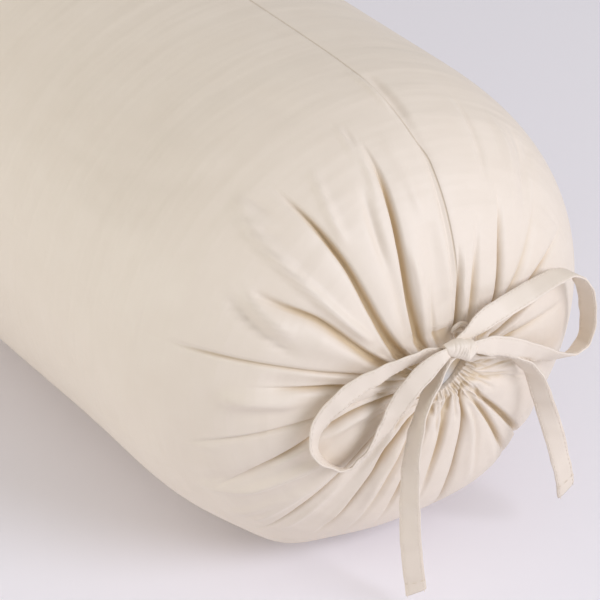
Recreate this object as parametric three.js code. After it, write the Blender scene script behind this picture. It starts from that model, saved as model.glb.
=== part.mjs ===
// Bolster cushion: a round filled bolster in a gathered sateen cover, lying on its side.
// Both ends are domed and gathered. The near end (+X) is drawn in by a hemmed channel and tied
// in a bow with a flat tape of the same cloth; the far end (-X) is gathered and sewn shut.
// Millimetres, +Z up. The origin is on the surface that the bolster lies on, under its middle.
// Angles go round the X axis in degrees: 0 is +Y, 90 is the top, 180 is -Y, 270 the underside.
// Arcs are measured along the cover from the middle of an end, outwards and then along the side.

import * as THREE from 'three';

// Bolster body
const LENGTH = 900;
const RADIUS = 110;
const BREADTH_RATIO = 1.02;
const HEIGHT_RATIO = 0.98;
const SINK = 5.7;
const CROWN_DEPTH = 107.3;
const CROWN_POWER = 2.728;

const HALF = LENGTH / 2;
const AXIS_HEIGHT = RADIUS * HEIGHT_RATIO - SINK;

// Tied end: the opening, the stitch line of the channel round it, and where its offset fades out
const MOUTH = { y: 2, z: 1, long: 15, short: 8, turn: 31 };
const STITCH = { y: -2, z: 5, across: 28, up: 21 };
const STITCH_ARC = 25;
const OFFSET_FADE = 90;

// Rows of the channel, from the stitch line to the middle of the recess in the opening:
// mix 1 is the stitch line and 0 the opening's edge, scale draws the row in, x is its place
const CHANNEL_ROWS = [
  { mix: 1, scale: 1, x: 447.6 },
  { mix: 0.72, scale: 1, x: 450.8 },
  { mix: 0.35, scale: 1, x: 452.6 },
  { mix: 0, scale: 1, x: 452.2 },
  { mix: 0, scale: 0.93, x: 449.5 },
  { mix: 0, scale: 0.9, x: 441 },
  { mix: 0, scale: 0, x: 441 },
];

// Where the rows of the gathered crowns lie, as arcs from the middle of the end
const NEAR_ARCS = [29, 34, 40, 47, 55, 64, 74, 85, 96, 107, 118, 130, 143, 160, 181];
const FAR_ARCS = [0, 5, 9, 14, 22, 32, 44, 58, 74, 92, 110, 132, 158, 181];
const BARREL_STEPS = 6;
const CROWN_STEPS = 400;

// Three columns of the cover belong to each fold: its valley and two on the lobe beside it
const COLUMNS_PER_FOLD = 3;

// Main folds of the tied end. Each runs from its angle at the stitch line (ring) to its angle
// at its outer end (tip), which lies at the arc reach; bend over 1 turns it mostly near the ring
const NEAR_FOLDS = [
  { ring: 8, tip: 4, reach: 85, depth: 3.5, width: 5, bend: 1 },
  { ring: 21, tip: 18, reach: 76, depth: 7, width: 5, bend: 1 },
  { ring: 33, tip: 30, reach: 95, depth: 4.5, width: 5, bend: 1 },
  { ring: 40, tip: 47, reach: 120, depth: 5, width: 6, bend: 2 },
  { ring: 47, tip: 65, reach: 118, depth: 8, width: 4.5, bend: 1.6 },
  { ring: 64, tip: 72, reach: 72, depth: 4, width: 6, bend: 1 },
  { ring: 77, tip: 84, reach: 66, depth: 4, width: 3, bend: 1.6 },
  { ring: 93, tip: 95, reach: 62, depth: 3.5, width: 6, bend: 1 },
  { ring: 119, tip: 98, reach: 114, depth: 9.5, width: 5, bend: 2 },
  { ring: 125, tip: 107, reach: 106, depth: 3, width: 4, bend: 1.6 },
  { ring: 134, tip: 120.5, reach: 122, depth: 9, width: 5, bend: 2 },
  { ring: 139, tip: 131, reach: 128, depth: 3, width: 3, bend: 1.6 },
  { ring: 144, tip: 141, reach: 108, depth: 8, width: 4.5, bend: 1.3 },
  { ring: 152, tip: 149, reach: 115, depth: 3, width: 5, bend: 1 },
  { ring: 159.5, tip: 163, reach: 134, depth: 4, width: 3, bend: 0.8 },
  { ring: 166, tip: 168, reach: 84, depth: 4.5, width: 4, bend: 1 },
  { ring: 179, tip: 189, reach: 122, depth: 3, width: 3, bend: 1 },
  { ring: 184, tip: 202.5, reach: 122, depth: 6.5, width: 4.5, bend: 1.2 },
  { ring: 191, tip: 207, reach: 104, depth: 5, width: 5, bend: 1.7 },
  { ring: 204, tip: 221, reach: 110, depth: 3.5, width: 4, bend: 1.2 },
  { ring: 212, tip: 228.5, reach: 120, depth: 5.5, width: 3.5, bend: 1.1 },
  { ring: 231, tip: 240, reach: 98, depth: 10, width: 6, bend: 0.9 },
  { ring: 241, tip: 246.5, reach: 108, depth: 4, width: 5, bend: 1 },
  { ring: 254, tip: 255, reach: 94, depth: 5.5, width: 5, bend: 1 },
  { ring: 272, tip: 266, reach: 84, depth: 7, width: 7, bend: 1 },
  { ring: 287, tip: 277, reach: 102, depth: 8, width: 4, bend: 1.3 },
  { ring: 298, tip: 290, reach: 94, depth: 5.5, width: 4.5, bend: 1.2 },
  { ring: 304, tip: 301, reach: 98, depth: 7, width: 4, bend: 1 },
  { ring: 311, tip: 314, reach: 112, depth: 9, width: 4.5, bend: 1 },
  { ring: 327, tip: 333, reach: 92, depth: 5.5, width: 5, bend: 1 },
  { ring: 341, tip: 345, reach: 98, depth: 6, width: 5, bend: 1 },
];
const FOLD_START = 0.3;
const FOLD_RISE = 0.22;
const FOLD_NARROWING = 0.5;
const VALLEY_POWER = 1.3;

// Broad swells of the filling, with their middle, spread and height
const SWELLS = [
  { angle: 148, arc: 62, spreadAngle: 5, spreadArc: 24, height: 2.5 },
  { angle: 172, arc: 88, spreadAngle: 3.5, spreadArc: 14, height: 2 },
  { angle: 214, arc: 205, spreadAngle: 18, spreadArc: 60, height: -2.4 },
  { angle: 240, arc: 115, spreadAngle: 10, spreadArc: 15, height: 3.2 },
  { angle: 300, arc: 92, spreadAngle: 20, spreadArc: 26, height: 3.6 },
];

// Far end: each fold keeps its angle; depths and reaches wander round these middle values
const FAR_DEPTH = 5;
const FAR_DEPTH_WANDER = 2;
const FAR_REACH = 96;
const FAR_REACH_WANDER = 26;
const FAR_WIDTH = 4.5;
const FAR_TUFT = { height: 2.6, radius: 6, grooveArc: 10, grooveDepth: 3.5, grooveWidth: 4 };
const WANDER_STEP = 2.4;

// Inner pillow, of which the opening shows a small round of its end. Its rows go from the
// back to the middle of its face; size is a share of the opening's own size
const PILLOW_ROWS = [
  { size: 0, x: 441.5 },
  { size: 0.86, x: 441.5 },
  { size: 0.86, x: 446.3 },
  { size: 0.52, x: 447.3 },
  { size: 0, x: 447.6 },
];
const PILLOW_COLUMNS = 32;

// Tape: a folded and stitched strip of the cover's cloth, its edges half as thick as its middle
const TAPE_WIDTH = 9;
const TAPE_THICKNESS = 1.3;
const TAPE_EDGE_THICKNESS = 0.65;
const TAPE_CORNER = 1.2;
const TAPE_STEP = 7.5;

// Knot: a tight roll of tape, its long axis slanting down towards +X and +Y. Its outline is
// blunter than an oval, and grooves part its turns
const KNOT = { x: 459, y: -3, z: 125.2, length: 16.5, radius: 5.4, yaw: 64, dip: 33 };
const KNOT_BLUNTNESS = 0.7;
const KNOT_TURNS = 3;
const KNOT_GROOVE = 0.12;
const KNOT_STATIONS = 12;
const KNOT_SIDES = 16;

// Routes of the tape. lean turns it about its own run: 0 lies flat against the end of the
// bolster, 90 stands on its edge
const LEFT_LOOP = [
  { x: 455.8, y: -13, z: 123.9, lean: 16 },
  { x: 455.6, y: -16.4, z: 123.7, lean: 22 },
  { x: 455.5, y: -22.4, z: 123.1, lean: 34 },
  { x: 454, y: -35.1, z: 120.8, lean: 42 },
  { x: 452, y: -47.3, z: 118.1, lean: 52 },
  { x: 450, y: -57, z: 113.4, lean: 72 },
  { x: 448.5, y: -64.1, z: 106.2, lean: 94 },
  { x: 447.5, y: -67.7, z: 98.2, lean: 103 },
  { x: 447.5, y: -66.1, z: 90.3, lean: 96 },
  { x: 447.5, y: -60.6, z: 82.6, lean: 80 },
  { x: 448, y: -53.4, z: 77.5, lean: 68 },
  { x: 449.5, y: -48, z: 77.2, lean: 56 },
  { x: 451, y: -43.2, z: 81.1, lean: 48 },
  { x: 452.5, y: -38.5, z: 88.1, lean: 38 },
  { x: 454.4, y: -34.3, z: 95.7, lean: 10 },
  { x: 456.6, y: -30, z: 104, lean: -20 },
  { x: 459, y: -24.8, z: 113.6, lean: -30 },
  { x: 461.4, y: -18.7, z: 120.8, lean: -16 },
  { x: 462.6, y: -15, z: 123.8, lean: -8 },
];
const RIGHT_LOOP = [
  { x: 457.8, y: 4.4, z: 129.6, lean: 162 },
  { x: 457.5, y: 8, z: 130.4, lean: 156 },
  { x: 457, y: 12.6, z: 131.4, lean: 148 },
  { x: 456, y: 21, z: 132.5, lean: 142 },
  { x: 453, y: 35.3, z: 132.6, lean: 138 },
  { x: 450, y: 49.4, z: 132.4, lean: 132 },
  { x: 447, y: 62.7, z: 130.1, lean: 118 },
  { x: 445, y: 73.5, z: 124.4, lean: 96 },
  { x: 443, y: 81.8, z: 111.5, lean: 78 },
  { x: 442, y: 83.8, z: 98.1, lean: 76 },
  { x: 443, y: 79.3, z: 89.1, lean: 92 },
  { x: 446.6, y: 68, z: 90.5, lean: 118 },
  { x: 453.6, y: 51, z: 101, lean: 152 },
  { x: 457.4, y: 35.2, z: 110.5, lean: 178 },
  { x: 460, y: 21.3, z: 117, lean: 188 },
  { x: 462, y: 9.6, z: 121.4, lean: 184 },
];
const LEFT_TAIL = [
  { x: 458.4, y: -7, z: 117.8, lean: 0 },
  { x: 458.8, y: -10.4, z: 115.6, lean: 4 },
  { x: 459.4, y: -13.9, z: 112.4, lean: 14 },
  { x: 460.2, y: -18.4, z: 107, lean: 36 },
  { x: 461.2, y: -22.6, z: 98.4, lean: 54 },
  { x: 461.8, y: -25.6, z: 85.6, lean: 60 },
  { x: 462, y: -26.7, z: 71, lean: 57 },
  { x: 462, y: -26.7, z: 55.7, lean: 52 },
  { x: 462, y: -25.5, z: 39.8, lean: 46 },
  { x: 462, y: -23.5, z: 25.8, lean: 40 },
  { x: 462, y: -21.3, z: 10.5, lean: 34 },
];
const RIGHT_TAIL = [
  { x: 456.4, y: 9.8, z: 114.8, lean: 0 },
  { x: 455.2, y: 15.8, z: 112.2, lean: 4 },
  { x: 453.6, y: 22.7, z: 108.8, lean: 6 },
  { x: 452.4, y: 30.6, z: 104.4, lean: 10 },
  { x: 452.4, y: 37.8, z: 98.2, lean: 22 },
  { x: 453.6, y: 44, z: 90, lean: 46 },
  { x: 454.8, y: 48.9, z: 77.5, lean: 56 },
  { x: 455, y: 53, z: 65.6, lean: 50 },
  { x: 455, y: 56.8, z: 52.6, lean: 42 },
  { x: 455, y: 60.5, z: 40, lean: 34 },
  { x: 455, y: 63.6, z: 29.7, lean: 28 },
  { x: 455, y: 65.2, z: 23.7, lean: 26 },
];

const CLOTH_COLOUR = 0xe8dccd;
const TAPE_COLOUR = 0xe4d6c6;
const PILLOW_COLOUR = 0xe6e6ea;
const SATEEN_ROUGHNESS = 0.62;
const PILLOW_ROUGHNESS = 0.85;

const toRadians = THREE.MathUtils.degToRad;
const smooth = (value) => THREE.MathUtils.smoothstep(value, 0, 1);

// Half of the bolster's outline, walked from the middle of an end: arc, x and radius
function makeCrownOutline() {
  const outline = [];
  let arc = 0;
  for (let i = 0; i <= CROWN_STEPS; i += 1) {
    const turn = (Math.PI / 2) * (1 - i / CROWN_STEPS);
    const x = HALF - CROWN_DEPTH + CROWN_DEPTH * Math.sin(turn) ** (2 / CROWN_POWER);
    const radius = RADIUS * Math.cos(turn) ** (2 / CROWN_POWER);
    const last = outline[outline.length - 1];
    if (last) {
      arc += Math.hypot(x - last.x, radius - last.radius);
    }
    outline.push({ arc, x, radius });
  }
  return outline;
}

const CROWN = makeCrownOutline();

// Place and slope of the plain outline at an arc
function outlineAt(arc) {
  if (arc === 0) {
    return { x: HALF, radius: 0, slopeX: 0, slopeRadius: 1 };
  }
  const end = CROWN[CROWN.length - 1];
  if (arc >= end.arc) {
    return { x: end.x - (arc - end.arc), radius: RADIUS, slopeX: -1, slopeRadius: 0 };
  }
  const index = Math.max(CROWN.findIndex((row) => row.arc > arc), 1);
  const from = CROWN[index - 1];
  const to = CROWN[index];
  const step = to.arc - from.arc;
  const part = (arc - from.arc) / step;
  return {
    x: from.x + (to.x - from.x) * part,
    radius: from.radius + (to.radius - from.radius) * part,
    slopeX: (to.x - from.x) / step,
    slopeRadius: (to.radius - from.radius) / step,
  };
}

// The opening's edge is a slanted oval, the stitch line round it a rounder one
function mouthPoint(angle) {
  const own = toRadians(angle - MOUTH.turn);
  const turn = toRadians(MOUTH.turn);
  const along = MOUTH.long * Math.cos(own);
  const across = MOUTH.short * Math.sin(own);
  return {
    y: MOUTH.y + along * Math.cos(turn) - across * Math.sin(turn),
    z: MOUTH.z + along * Math.sin(turn) + across * Math.cos(turn),
  };
}

function stitchPoint(angle) {
  return {
    y: STITCH.y + STITCH.across * Math.cos(toRadians(angle)),
    z: STITCH.z + STITCH.up * Math.sin(toRadians(angle)),
  };
}

function sectionPoint(radius, angle) {
  return {
    y: BREADTH_RATIO * radius * Math.cos(toRadians(angle)),
    z: HEIGHT_RATIO * radius * Math.sin(toRadians(angle)),
  };
}

// How far out along a fold an arc lies, from 0 at the stitch line to 1 at its outer end
function foldProgress(fold, arc) {
  return THREE.MathUtils.clamp((arc - STITCH_ARC) / (fold.reach - STITCH_ARC), 0, 1);
}

function foldAngle(fold, arc) {
  return fold.tip + (fold.ring - fold.tip) * (1 - foldProgress(fold, arc)) ** fold.bend;
}

// A fold starts shallow at the stitches, is soon at its deepest and fades towards its outer end
function foldDepth(fold, arc) {
  const progress = foldProgress(fold, arc);
  const rise = FOLD_START + (1 - FOLD_START) * smooth(progress / FOLD_RISE);
  const fade = 1 - smooth((progress - FOLD_RISE) / (1 - FOLD_RISE));
  return fold.depth * rise * fade;
}

function angleBetween(a, b) {
  return THREE.MathUtils.euclideanModulo(a - b + 180, 360) - 180;
}

// Rounded lobes with sharp valleys between them
function valley(distance, width) {
  return Math.exp(-(Math.abs(distance / width) ** VALLEY_POWER));
}

function nearRelief(arc, angle, radius) {
  let relief = 0;
  for (const fold of NEAR_FOLDS) {
    const distance = toRadians(angleBetween(angle, foldAngle(fold, arc))) * radius;
    const width = fold.width * (1 - FOLD_NARROWING * foldProgress(fold, arc));
    relief -= foldDepth(fold, arc) * valley(distance, width);
  }
  for (const swell of SWELLS) {
    const round = angleBetween(angle, swell.angle) / swell.spreadAngle;
    const along = (arc - swell.arc) / swell.spreadArc;
    relief += swell.height * Math.exp(-round * round - along * along);
  }
  return relief;
}

function farRelief(arc, angle, radius) {
  let relief = 0;
  NEAR_FOLDS.forEach((fold, index) => {
    const depth = FAR_DEPTH + FAR_DEPTH_WANDER * Math.sin(index * WANDER_STEP);
    const reach = FAR_REACH + FAR_REACH_WANDER * Math.cos(index * WANDER_STEP * 2);
    const distance = toRadians(angleBetween(angle, fold.tip)) * radius;
    const fade = smooth(arc / FAR_TUFT.grooveArc) * (1 - smooth(arc / reach));
    relief -= depth * fade * valley(distance, FAR_WIDTH);
  });
  const grooveAway = (arc - FAR_TUFT.grooveArc) / FAR_TUFT.grooveWidth;
  relief += FAR_TUFT.height * Math.exp(-((arc / FAR_TUFT.radius) ** 2));
  relief -= FAR_TUFT.grooveDepth * Math.exp(-grooveAway * grooveAway);
  return relief;
}

const COLUMNS = NEAR_FOLDS.length * COLUMNS_PER_FOLD;

// The columns follow the folds out from the ring, so no fold is cut by the mesh
function columnAngle(column, arc) {
  const fold = Math.floor(column / COLUMNS_PER_FOLD) % NEAR_FOLDS.length;
  const next = (fold + 1) % NEAR_FOLDS.length;
  const from = foldAngle(NEAR_FOLDS[fold], arc);
  const gap = THREE.MathUtils.euclideanModulo(foldAngle(NEAR_FOLDS[next], arc) - from, 360);
  return from + (gap * (column % COLUMNS_PER_FOLD)) / COLUMNS_PER_FOLD;
}

// A point of the cover outside the stitch line; side is 1 for the tied end and -1 for the other
function crownPoint(side, arc, column) {
  const angle = columnAngle(column, side > 0 ? arc : Infinity);
  const outline = outlineAt(arc);
  const section = sectionPoint(outline.radius, angle);
  if (side > 0) {
    const stitch = stitchPoint(angle);
    const plain = sectionPoint(outlineAt(STITCH_ARC).radius, angle);
    const hold = 1 - smooth((arc - STITCH_ARC) / OFFSET_FADE);
    section.y += (stitch.y - plain.y) * hold;
    section.z += (stitch.z - plain.z) * hold;
  }
  const relief = side > 0
    ? nearRelief(arc, angle, outline.radius)
    : farRelief(arc, angle, outline.radius);
  return new THREE.Vector3(
    side * (outline.x + relief * outline.slopeRadius),
    section.y - relief * outline.slopeX * Math.cos(toRadians(angle)),
    section.z - relief * outline.slopeX * Math.sin(toRadians(angle)) + AXIS_HEIGHT,
  );
}

function channelPoint(row, column) {
  const angle = columnAngle(column, STITCH_ARC);
  const mouth = mouthPoint(angle);
  const stitch = stitchPoint(angle);
  const y = mouth.y + (stitch.y - mouth.y) * row.mix;
  const z = mouth.z + (stitch.z - mouth.z) * row.mix;
  return new THREE.Vector3(
    row.x,
    MOUTH.y + (y - MOUTH.y) * row.scale,
    MOUTH.z + (z - MOUTH.z) * row.scale + AXIS_HEIGHT,
  );
}

function barrelPoint(x, column) {
  const arc = CROWN[CROWN.length - 1].arc + (HALF - CROWN_DEPTH - x);
  const angle = columnAngle(column, Infinity);
  const section = sectionPoint(RADIUS + nearRelief(arc, angle, RADIUS), angle);
  return new THREE.Vector3(x, section.y, section.z + AXIS_HEIGHT);
}

// The cover's rows, each a function from a column to a point, from the far end to the opening
function coverRows() {
  const rows = FAR_ARCS.map((arc) => (column) => crownPoint(-1, arc, column));
  const barrelEnd = HALF - CROWN_DEPTH;
  for (let i = 1; i < BARREL_STEPS; i += 1) {
    const x = barrelEnd * ((2 * i) / BARREL_STEPS - 1);
    rows.push((column) => barrelPoint(x, column));
  }
  for (const arc of [...NEAR_ARCS].reverse()) {
    rows.push((column) => crownPoint(1, arc, column));
  }
  for (const row of CHANNEL_ROWS) {
    rows.push((column) => channelPoint(row, column));
  }
  return rows;
}

// A lathe turned about the bolster's axis, its points then set from the rows; what would lie
// under the floor is pressed flat on it
function makeCover() {
  const rows = coverRows();
  const profile = rows.map((row) => new THREE.Vector2(RADIUS, row(0).x));
  const geometry = new THREE.LatheGeometry(profile, COLUMNS);
  const position = geometry.getAttribute('position');
  for (let column = 0; column <= COLUMNS; column += 1) {
    rows.forEach((row, index) => {
      const point = row(column % COLUMNS);
      const floored = Math.max(point.z, 0);
      position.setXYZ(column * rows.length + index, point.x, point.y, floored);
    });
  }
  geometry.computeVertexNormals();
  return geometry;
}

// A low round of the inner pillow, just clear of the walls of the opening
function makePillowEnd() {
  const profile = PILLOW_ROWS.map((row) => new THREE.Vector2(row.size, row.x));
  const geometry = new THREE.LatheGeometry(profile, PILLOW_COLUMNS);
  const position = geometry.getAttribute('position');
  for (let column = 0; column <= PILLOW_COLUMNS; column += 1) {
    const edge = mouthPoint((360 * (column % PILLOW_COLUMNS)) / PILLOW_COLUMNS);
    PILLOW_ROWS.forEach((row, index) => {
      const y = MOUTH.y + (edge.y - MOUTH.y) * row.size;
      const z = MOUTH.z + (edge.z - MOUTH.z) * row.size + AXIS_HEIGHT;
      position.setXYZ(column * PILLOW_ROWS.length + index, row.x, y, z);
    });
  }
  geometry.computeVertexNormals();
  return geometry;
}

// A route whose frames hold the tape's width and face instead of the curve's own turn
class TapeRoute extends THREE.CatmullRomCurve3 {
  constructor(rows) {
    super(rows.map((row) => new THREE.Vector3(row.x, row.y, row.z)), false, 'centripetal');
    this.leans = rows.map((row) => row.lean);
  }

  leanAt(part) {
    const place = this.getUtoTmapping(part) * (this.leans.length - 1);
    const index = Math.min(Math.floor(place), this.leans.length - 2);
    return THREE.MathUtils.lerp(this.leans[index], this.leans[index + 1], place - index);
  }

  computeFrenetFrames(steps) {
    const outward = new THREE.Vector3(1, 0, 0);
    const frames = { tangents: [], normals: [], binormals: [] };
    for (let i = 0; i <= steps; i += 1) {
      const part = i / steps;
      const tangent = this.getTangentAt(part);
      const across = new THREE.Vector3().crossVectors(outward, tangent).normalize();
      across.applyAxisAngle(tangent, toRadians(this.leanAt(part)));
      frames.tangents.push(tangent);
      frames.normals.push(across);
      frames.binormals.push(new THREE.Vector3().crossVectors(tangent, across));
    }
    return frames;
  }
}

// Eight-sided flat section, its width along X and its thickness along Y
function tapeSection() {
  const edge = TAPE_WIDTH / 2;
  const inner = edge - TAPE_CORNER;
  const face = TAPE_THICKNESS / 2;
  const edgeFace = TAPE_EDGE_THICKNESS / 2;
  const shape = new THREE.Shape();
  shape.moveTo(-edge, -edgeFace);
  shape.lineTo(-inner, -face);
  shape.lineTo(inner, -face);
  shape.lineTo(edge, -edgeFace);
  shape.lineTo(edge, edgeFace);
  shape.lineTo(inner, face);
  shape.lineTo(-inner, face);
  shape.lineTo(-edge, edgeFace);
  shape.closePath();
  return shape;
}

function makeTape(rows) {
  const route = new TapeRoute(rows);
  const steps = Math.round(route.getLength() / TAPE_STEP);
  return new THREE.ExtrudeGeometry(tapeSection(), { steps, extrudePath: route });
}

// A short thick roll with grooves between its turns
function makeKnot() {
  const half = KNOT.length / 2;
  const profile = [];
  for (let i = 0; i <= KNOT_STATIONS; i += 1) {
    const turn = -Math.PI / 2 + (Math.PI * i) / KNOT_STATIONS;
    const groove = 1 - KNOT_GROOVE * Math.abs(Math.sin(KNOT_TURNS * turn));
    const radius = KNOT.radius * Math.cos(turn) ** KNOT_BLUNTNESS * groove;
    profile.push(new THREE.Vector2(radius, half * Math.sin(turn)));
  }
  profile[0].x = 0;
  profile[KNOT_STATIONS].x = 0;
  return new THREE.LatheGeometry(profile, KNOT_SIDES);
}

function addMesh(group, name, geometry, colour, roughness) {
  const material = new THREE.MeshStandardMaterial({ color: colour, roughness, metalness: 0 });
  const mesh = new THREE.Mesh(geometry, material);
  mesh.name = name;
  group.add(mesh);
  return mesh;
}

const bolster = new THREE.Group();
addMesh(bolster, 'cover', makeCover(), CLOTH_COLOUR, SATEEN_ROUGHNESS);
addMesh(bolster, 'pillow_end', makePillowEnd(), PILLOW_COLOUR, PILLOW_ROUGHNESS);
addMesh(bolster, 'bow_loop_left', makeTape(LEFT_LOOP), TAPE_COLOUR, SATEEN_ROUGHNESS);
addMesh(bolster, 'bow_loop_right', makeTape(RIGHT_LOOP), TAPE_COLOUR, SATEEN_ROUGHNESS);
addMesh(bolster, 'tie_tail_left', makeTape(LEFT_TAIL), TAPE_COLOUR, SATEEN_ROUGHNESS);
addMesh(bolster, 'tie_tail_right', makeTape(RIGHT_TAIL), TAPE_COLOUR, SATEEN_ROUGHNESS);
const knot = addMesh(bolster, 'tie_knot', makeKnot(), TAPE_COLOUR, SATEEN_ROUGHNESS);
knot.position.set(KNOT.x, KNOT.y, KNOT.z);
knot.rotation.set(-toRadians(KNOT.dip), 0, toRadians(KNOT.yaw - 90), 'ZXY');

export default bolster;
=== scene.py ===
import math

import bmesh
import bpy
import numpy as np
from mathutils import Matrix, Vector


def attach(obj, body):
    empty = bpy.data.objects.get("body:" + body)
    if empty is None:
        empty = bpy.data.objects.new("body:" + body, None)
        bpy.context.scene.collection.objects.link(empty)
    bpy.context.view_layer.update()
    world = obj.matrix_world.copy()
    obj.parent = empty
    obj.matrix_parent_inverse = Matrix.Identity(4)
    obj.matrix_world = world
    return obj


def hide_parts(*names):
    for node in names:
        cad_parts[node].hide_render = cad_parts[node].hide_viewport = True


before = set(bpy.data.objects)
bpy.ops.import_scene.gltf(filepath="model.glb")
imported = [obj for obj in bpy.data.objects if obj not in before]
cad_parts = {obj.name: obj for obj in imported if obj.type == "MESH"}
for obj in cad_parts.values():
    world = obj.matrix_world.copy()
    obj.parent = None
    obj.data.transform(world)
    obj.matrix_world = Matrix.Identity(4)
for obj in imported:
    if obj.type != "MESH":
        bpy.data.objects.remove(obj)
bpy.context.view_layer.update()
scene = bpy.context.scene
scene.view_settings.view_transform = "Standard"


# Camera
# It looks down on the tied end from the front right, so that the round of the end, the bow and
# the first quarter of the bolster's length fill the picture.
CAMERA_PLACE = Vector((1.150235, -0.565828, 0.708868))
CAMERA_AZIMUTH = math.radians(54.9172)
CAMERA_ELEVATION = math.radians(32.2845)
CAMERA_ROLL = math.radians(0.5690)
CAMERA_LENS = 158.748
SENSOR_WIDTH = 36.0


def make_camera():
    flat = math.cos(CAMERA_ELEVATION)
    back = Vector((
        math.sin(CAMERA_AZIMUTH) * flat,
        -math.cos(CAMERA_AZIMUTH) * flat,
        math.sin(CAMERA_ELEVATION),
    ))
    level = Vector((math.cos(CAMERA_AZIMUTH), math.sin(CAMERA_AZIMUTH), 0))
    upright = back.cross(level)
    right = level * math.cos(CAMERA_ROLL) + upright * math.sin(CAMERA_ROLL)
    up = upright * math.cos(CAMERA_ROLL) - level * math.sin(CAMERA_ROLL)
    data = bpy.data.cameras.new("camera")
    data.lens = CAMERA_LENS
    data.sensor_width = SENSOR_WIDTH
    camera = bpy.data.objects.new("camera", data)
    scene.collection.objects.link(camera)
    turn = Matrix((right, up, back)).transposed().to_4x4()
    camera.matrix_world = Matrix.Translation(CAMERA_PLACE) @ turn
    scene.camera = camera


make_camera()


# Cover
# The real piece is one tube of ivory cotton sateen over a filled pillow, lying on its side.
# Its tied end is gathered along a stitched channel, its far end is gathered and sewn shut.
HALF = 0.45
RADIUS = 0.11
BREADTH_RATIO = 1.02
HEIGHT_RATIO = 0.98
SINK = 0.0057
AXIS_HEIGHT = RADIUS * HEIGHT_RATIO - SINK
CROWN_DEPTH = 0.1073
CROWN_POWER = 2.728
CROWN_STEPS = 600

MOUTH_Y, MOUTH_Z = 0.003, 0.0032
MOUTH_LONG, MOUTH_SHORT = 0.013, 0.0064
MOUTH_TURN = math.radians(35)
STITCH_Y, STITCH_Z = -0.002, 0.005
STITCH_ACROSS, STITCH_UP = 0.028, 0.021
STITCH_ARC = 0.025
OFFSET_FADE = 0.09

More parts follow.
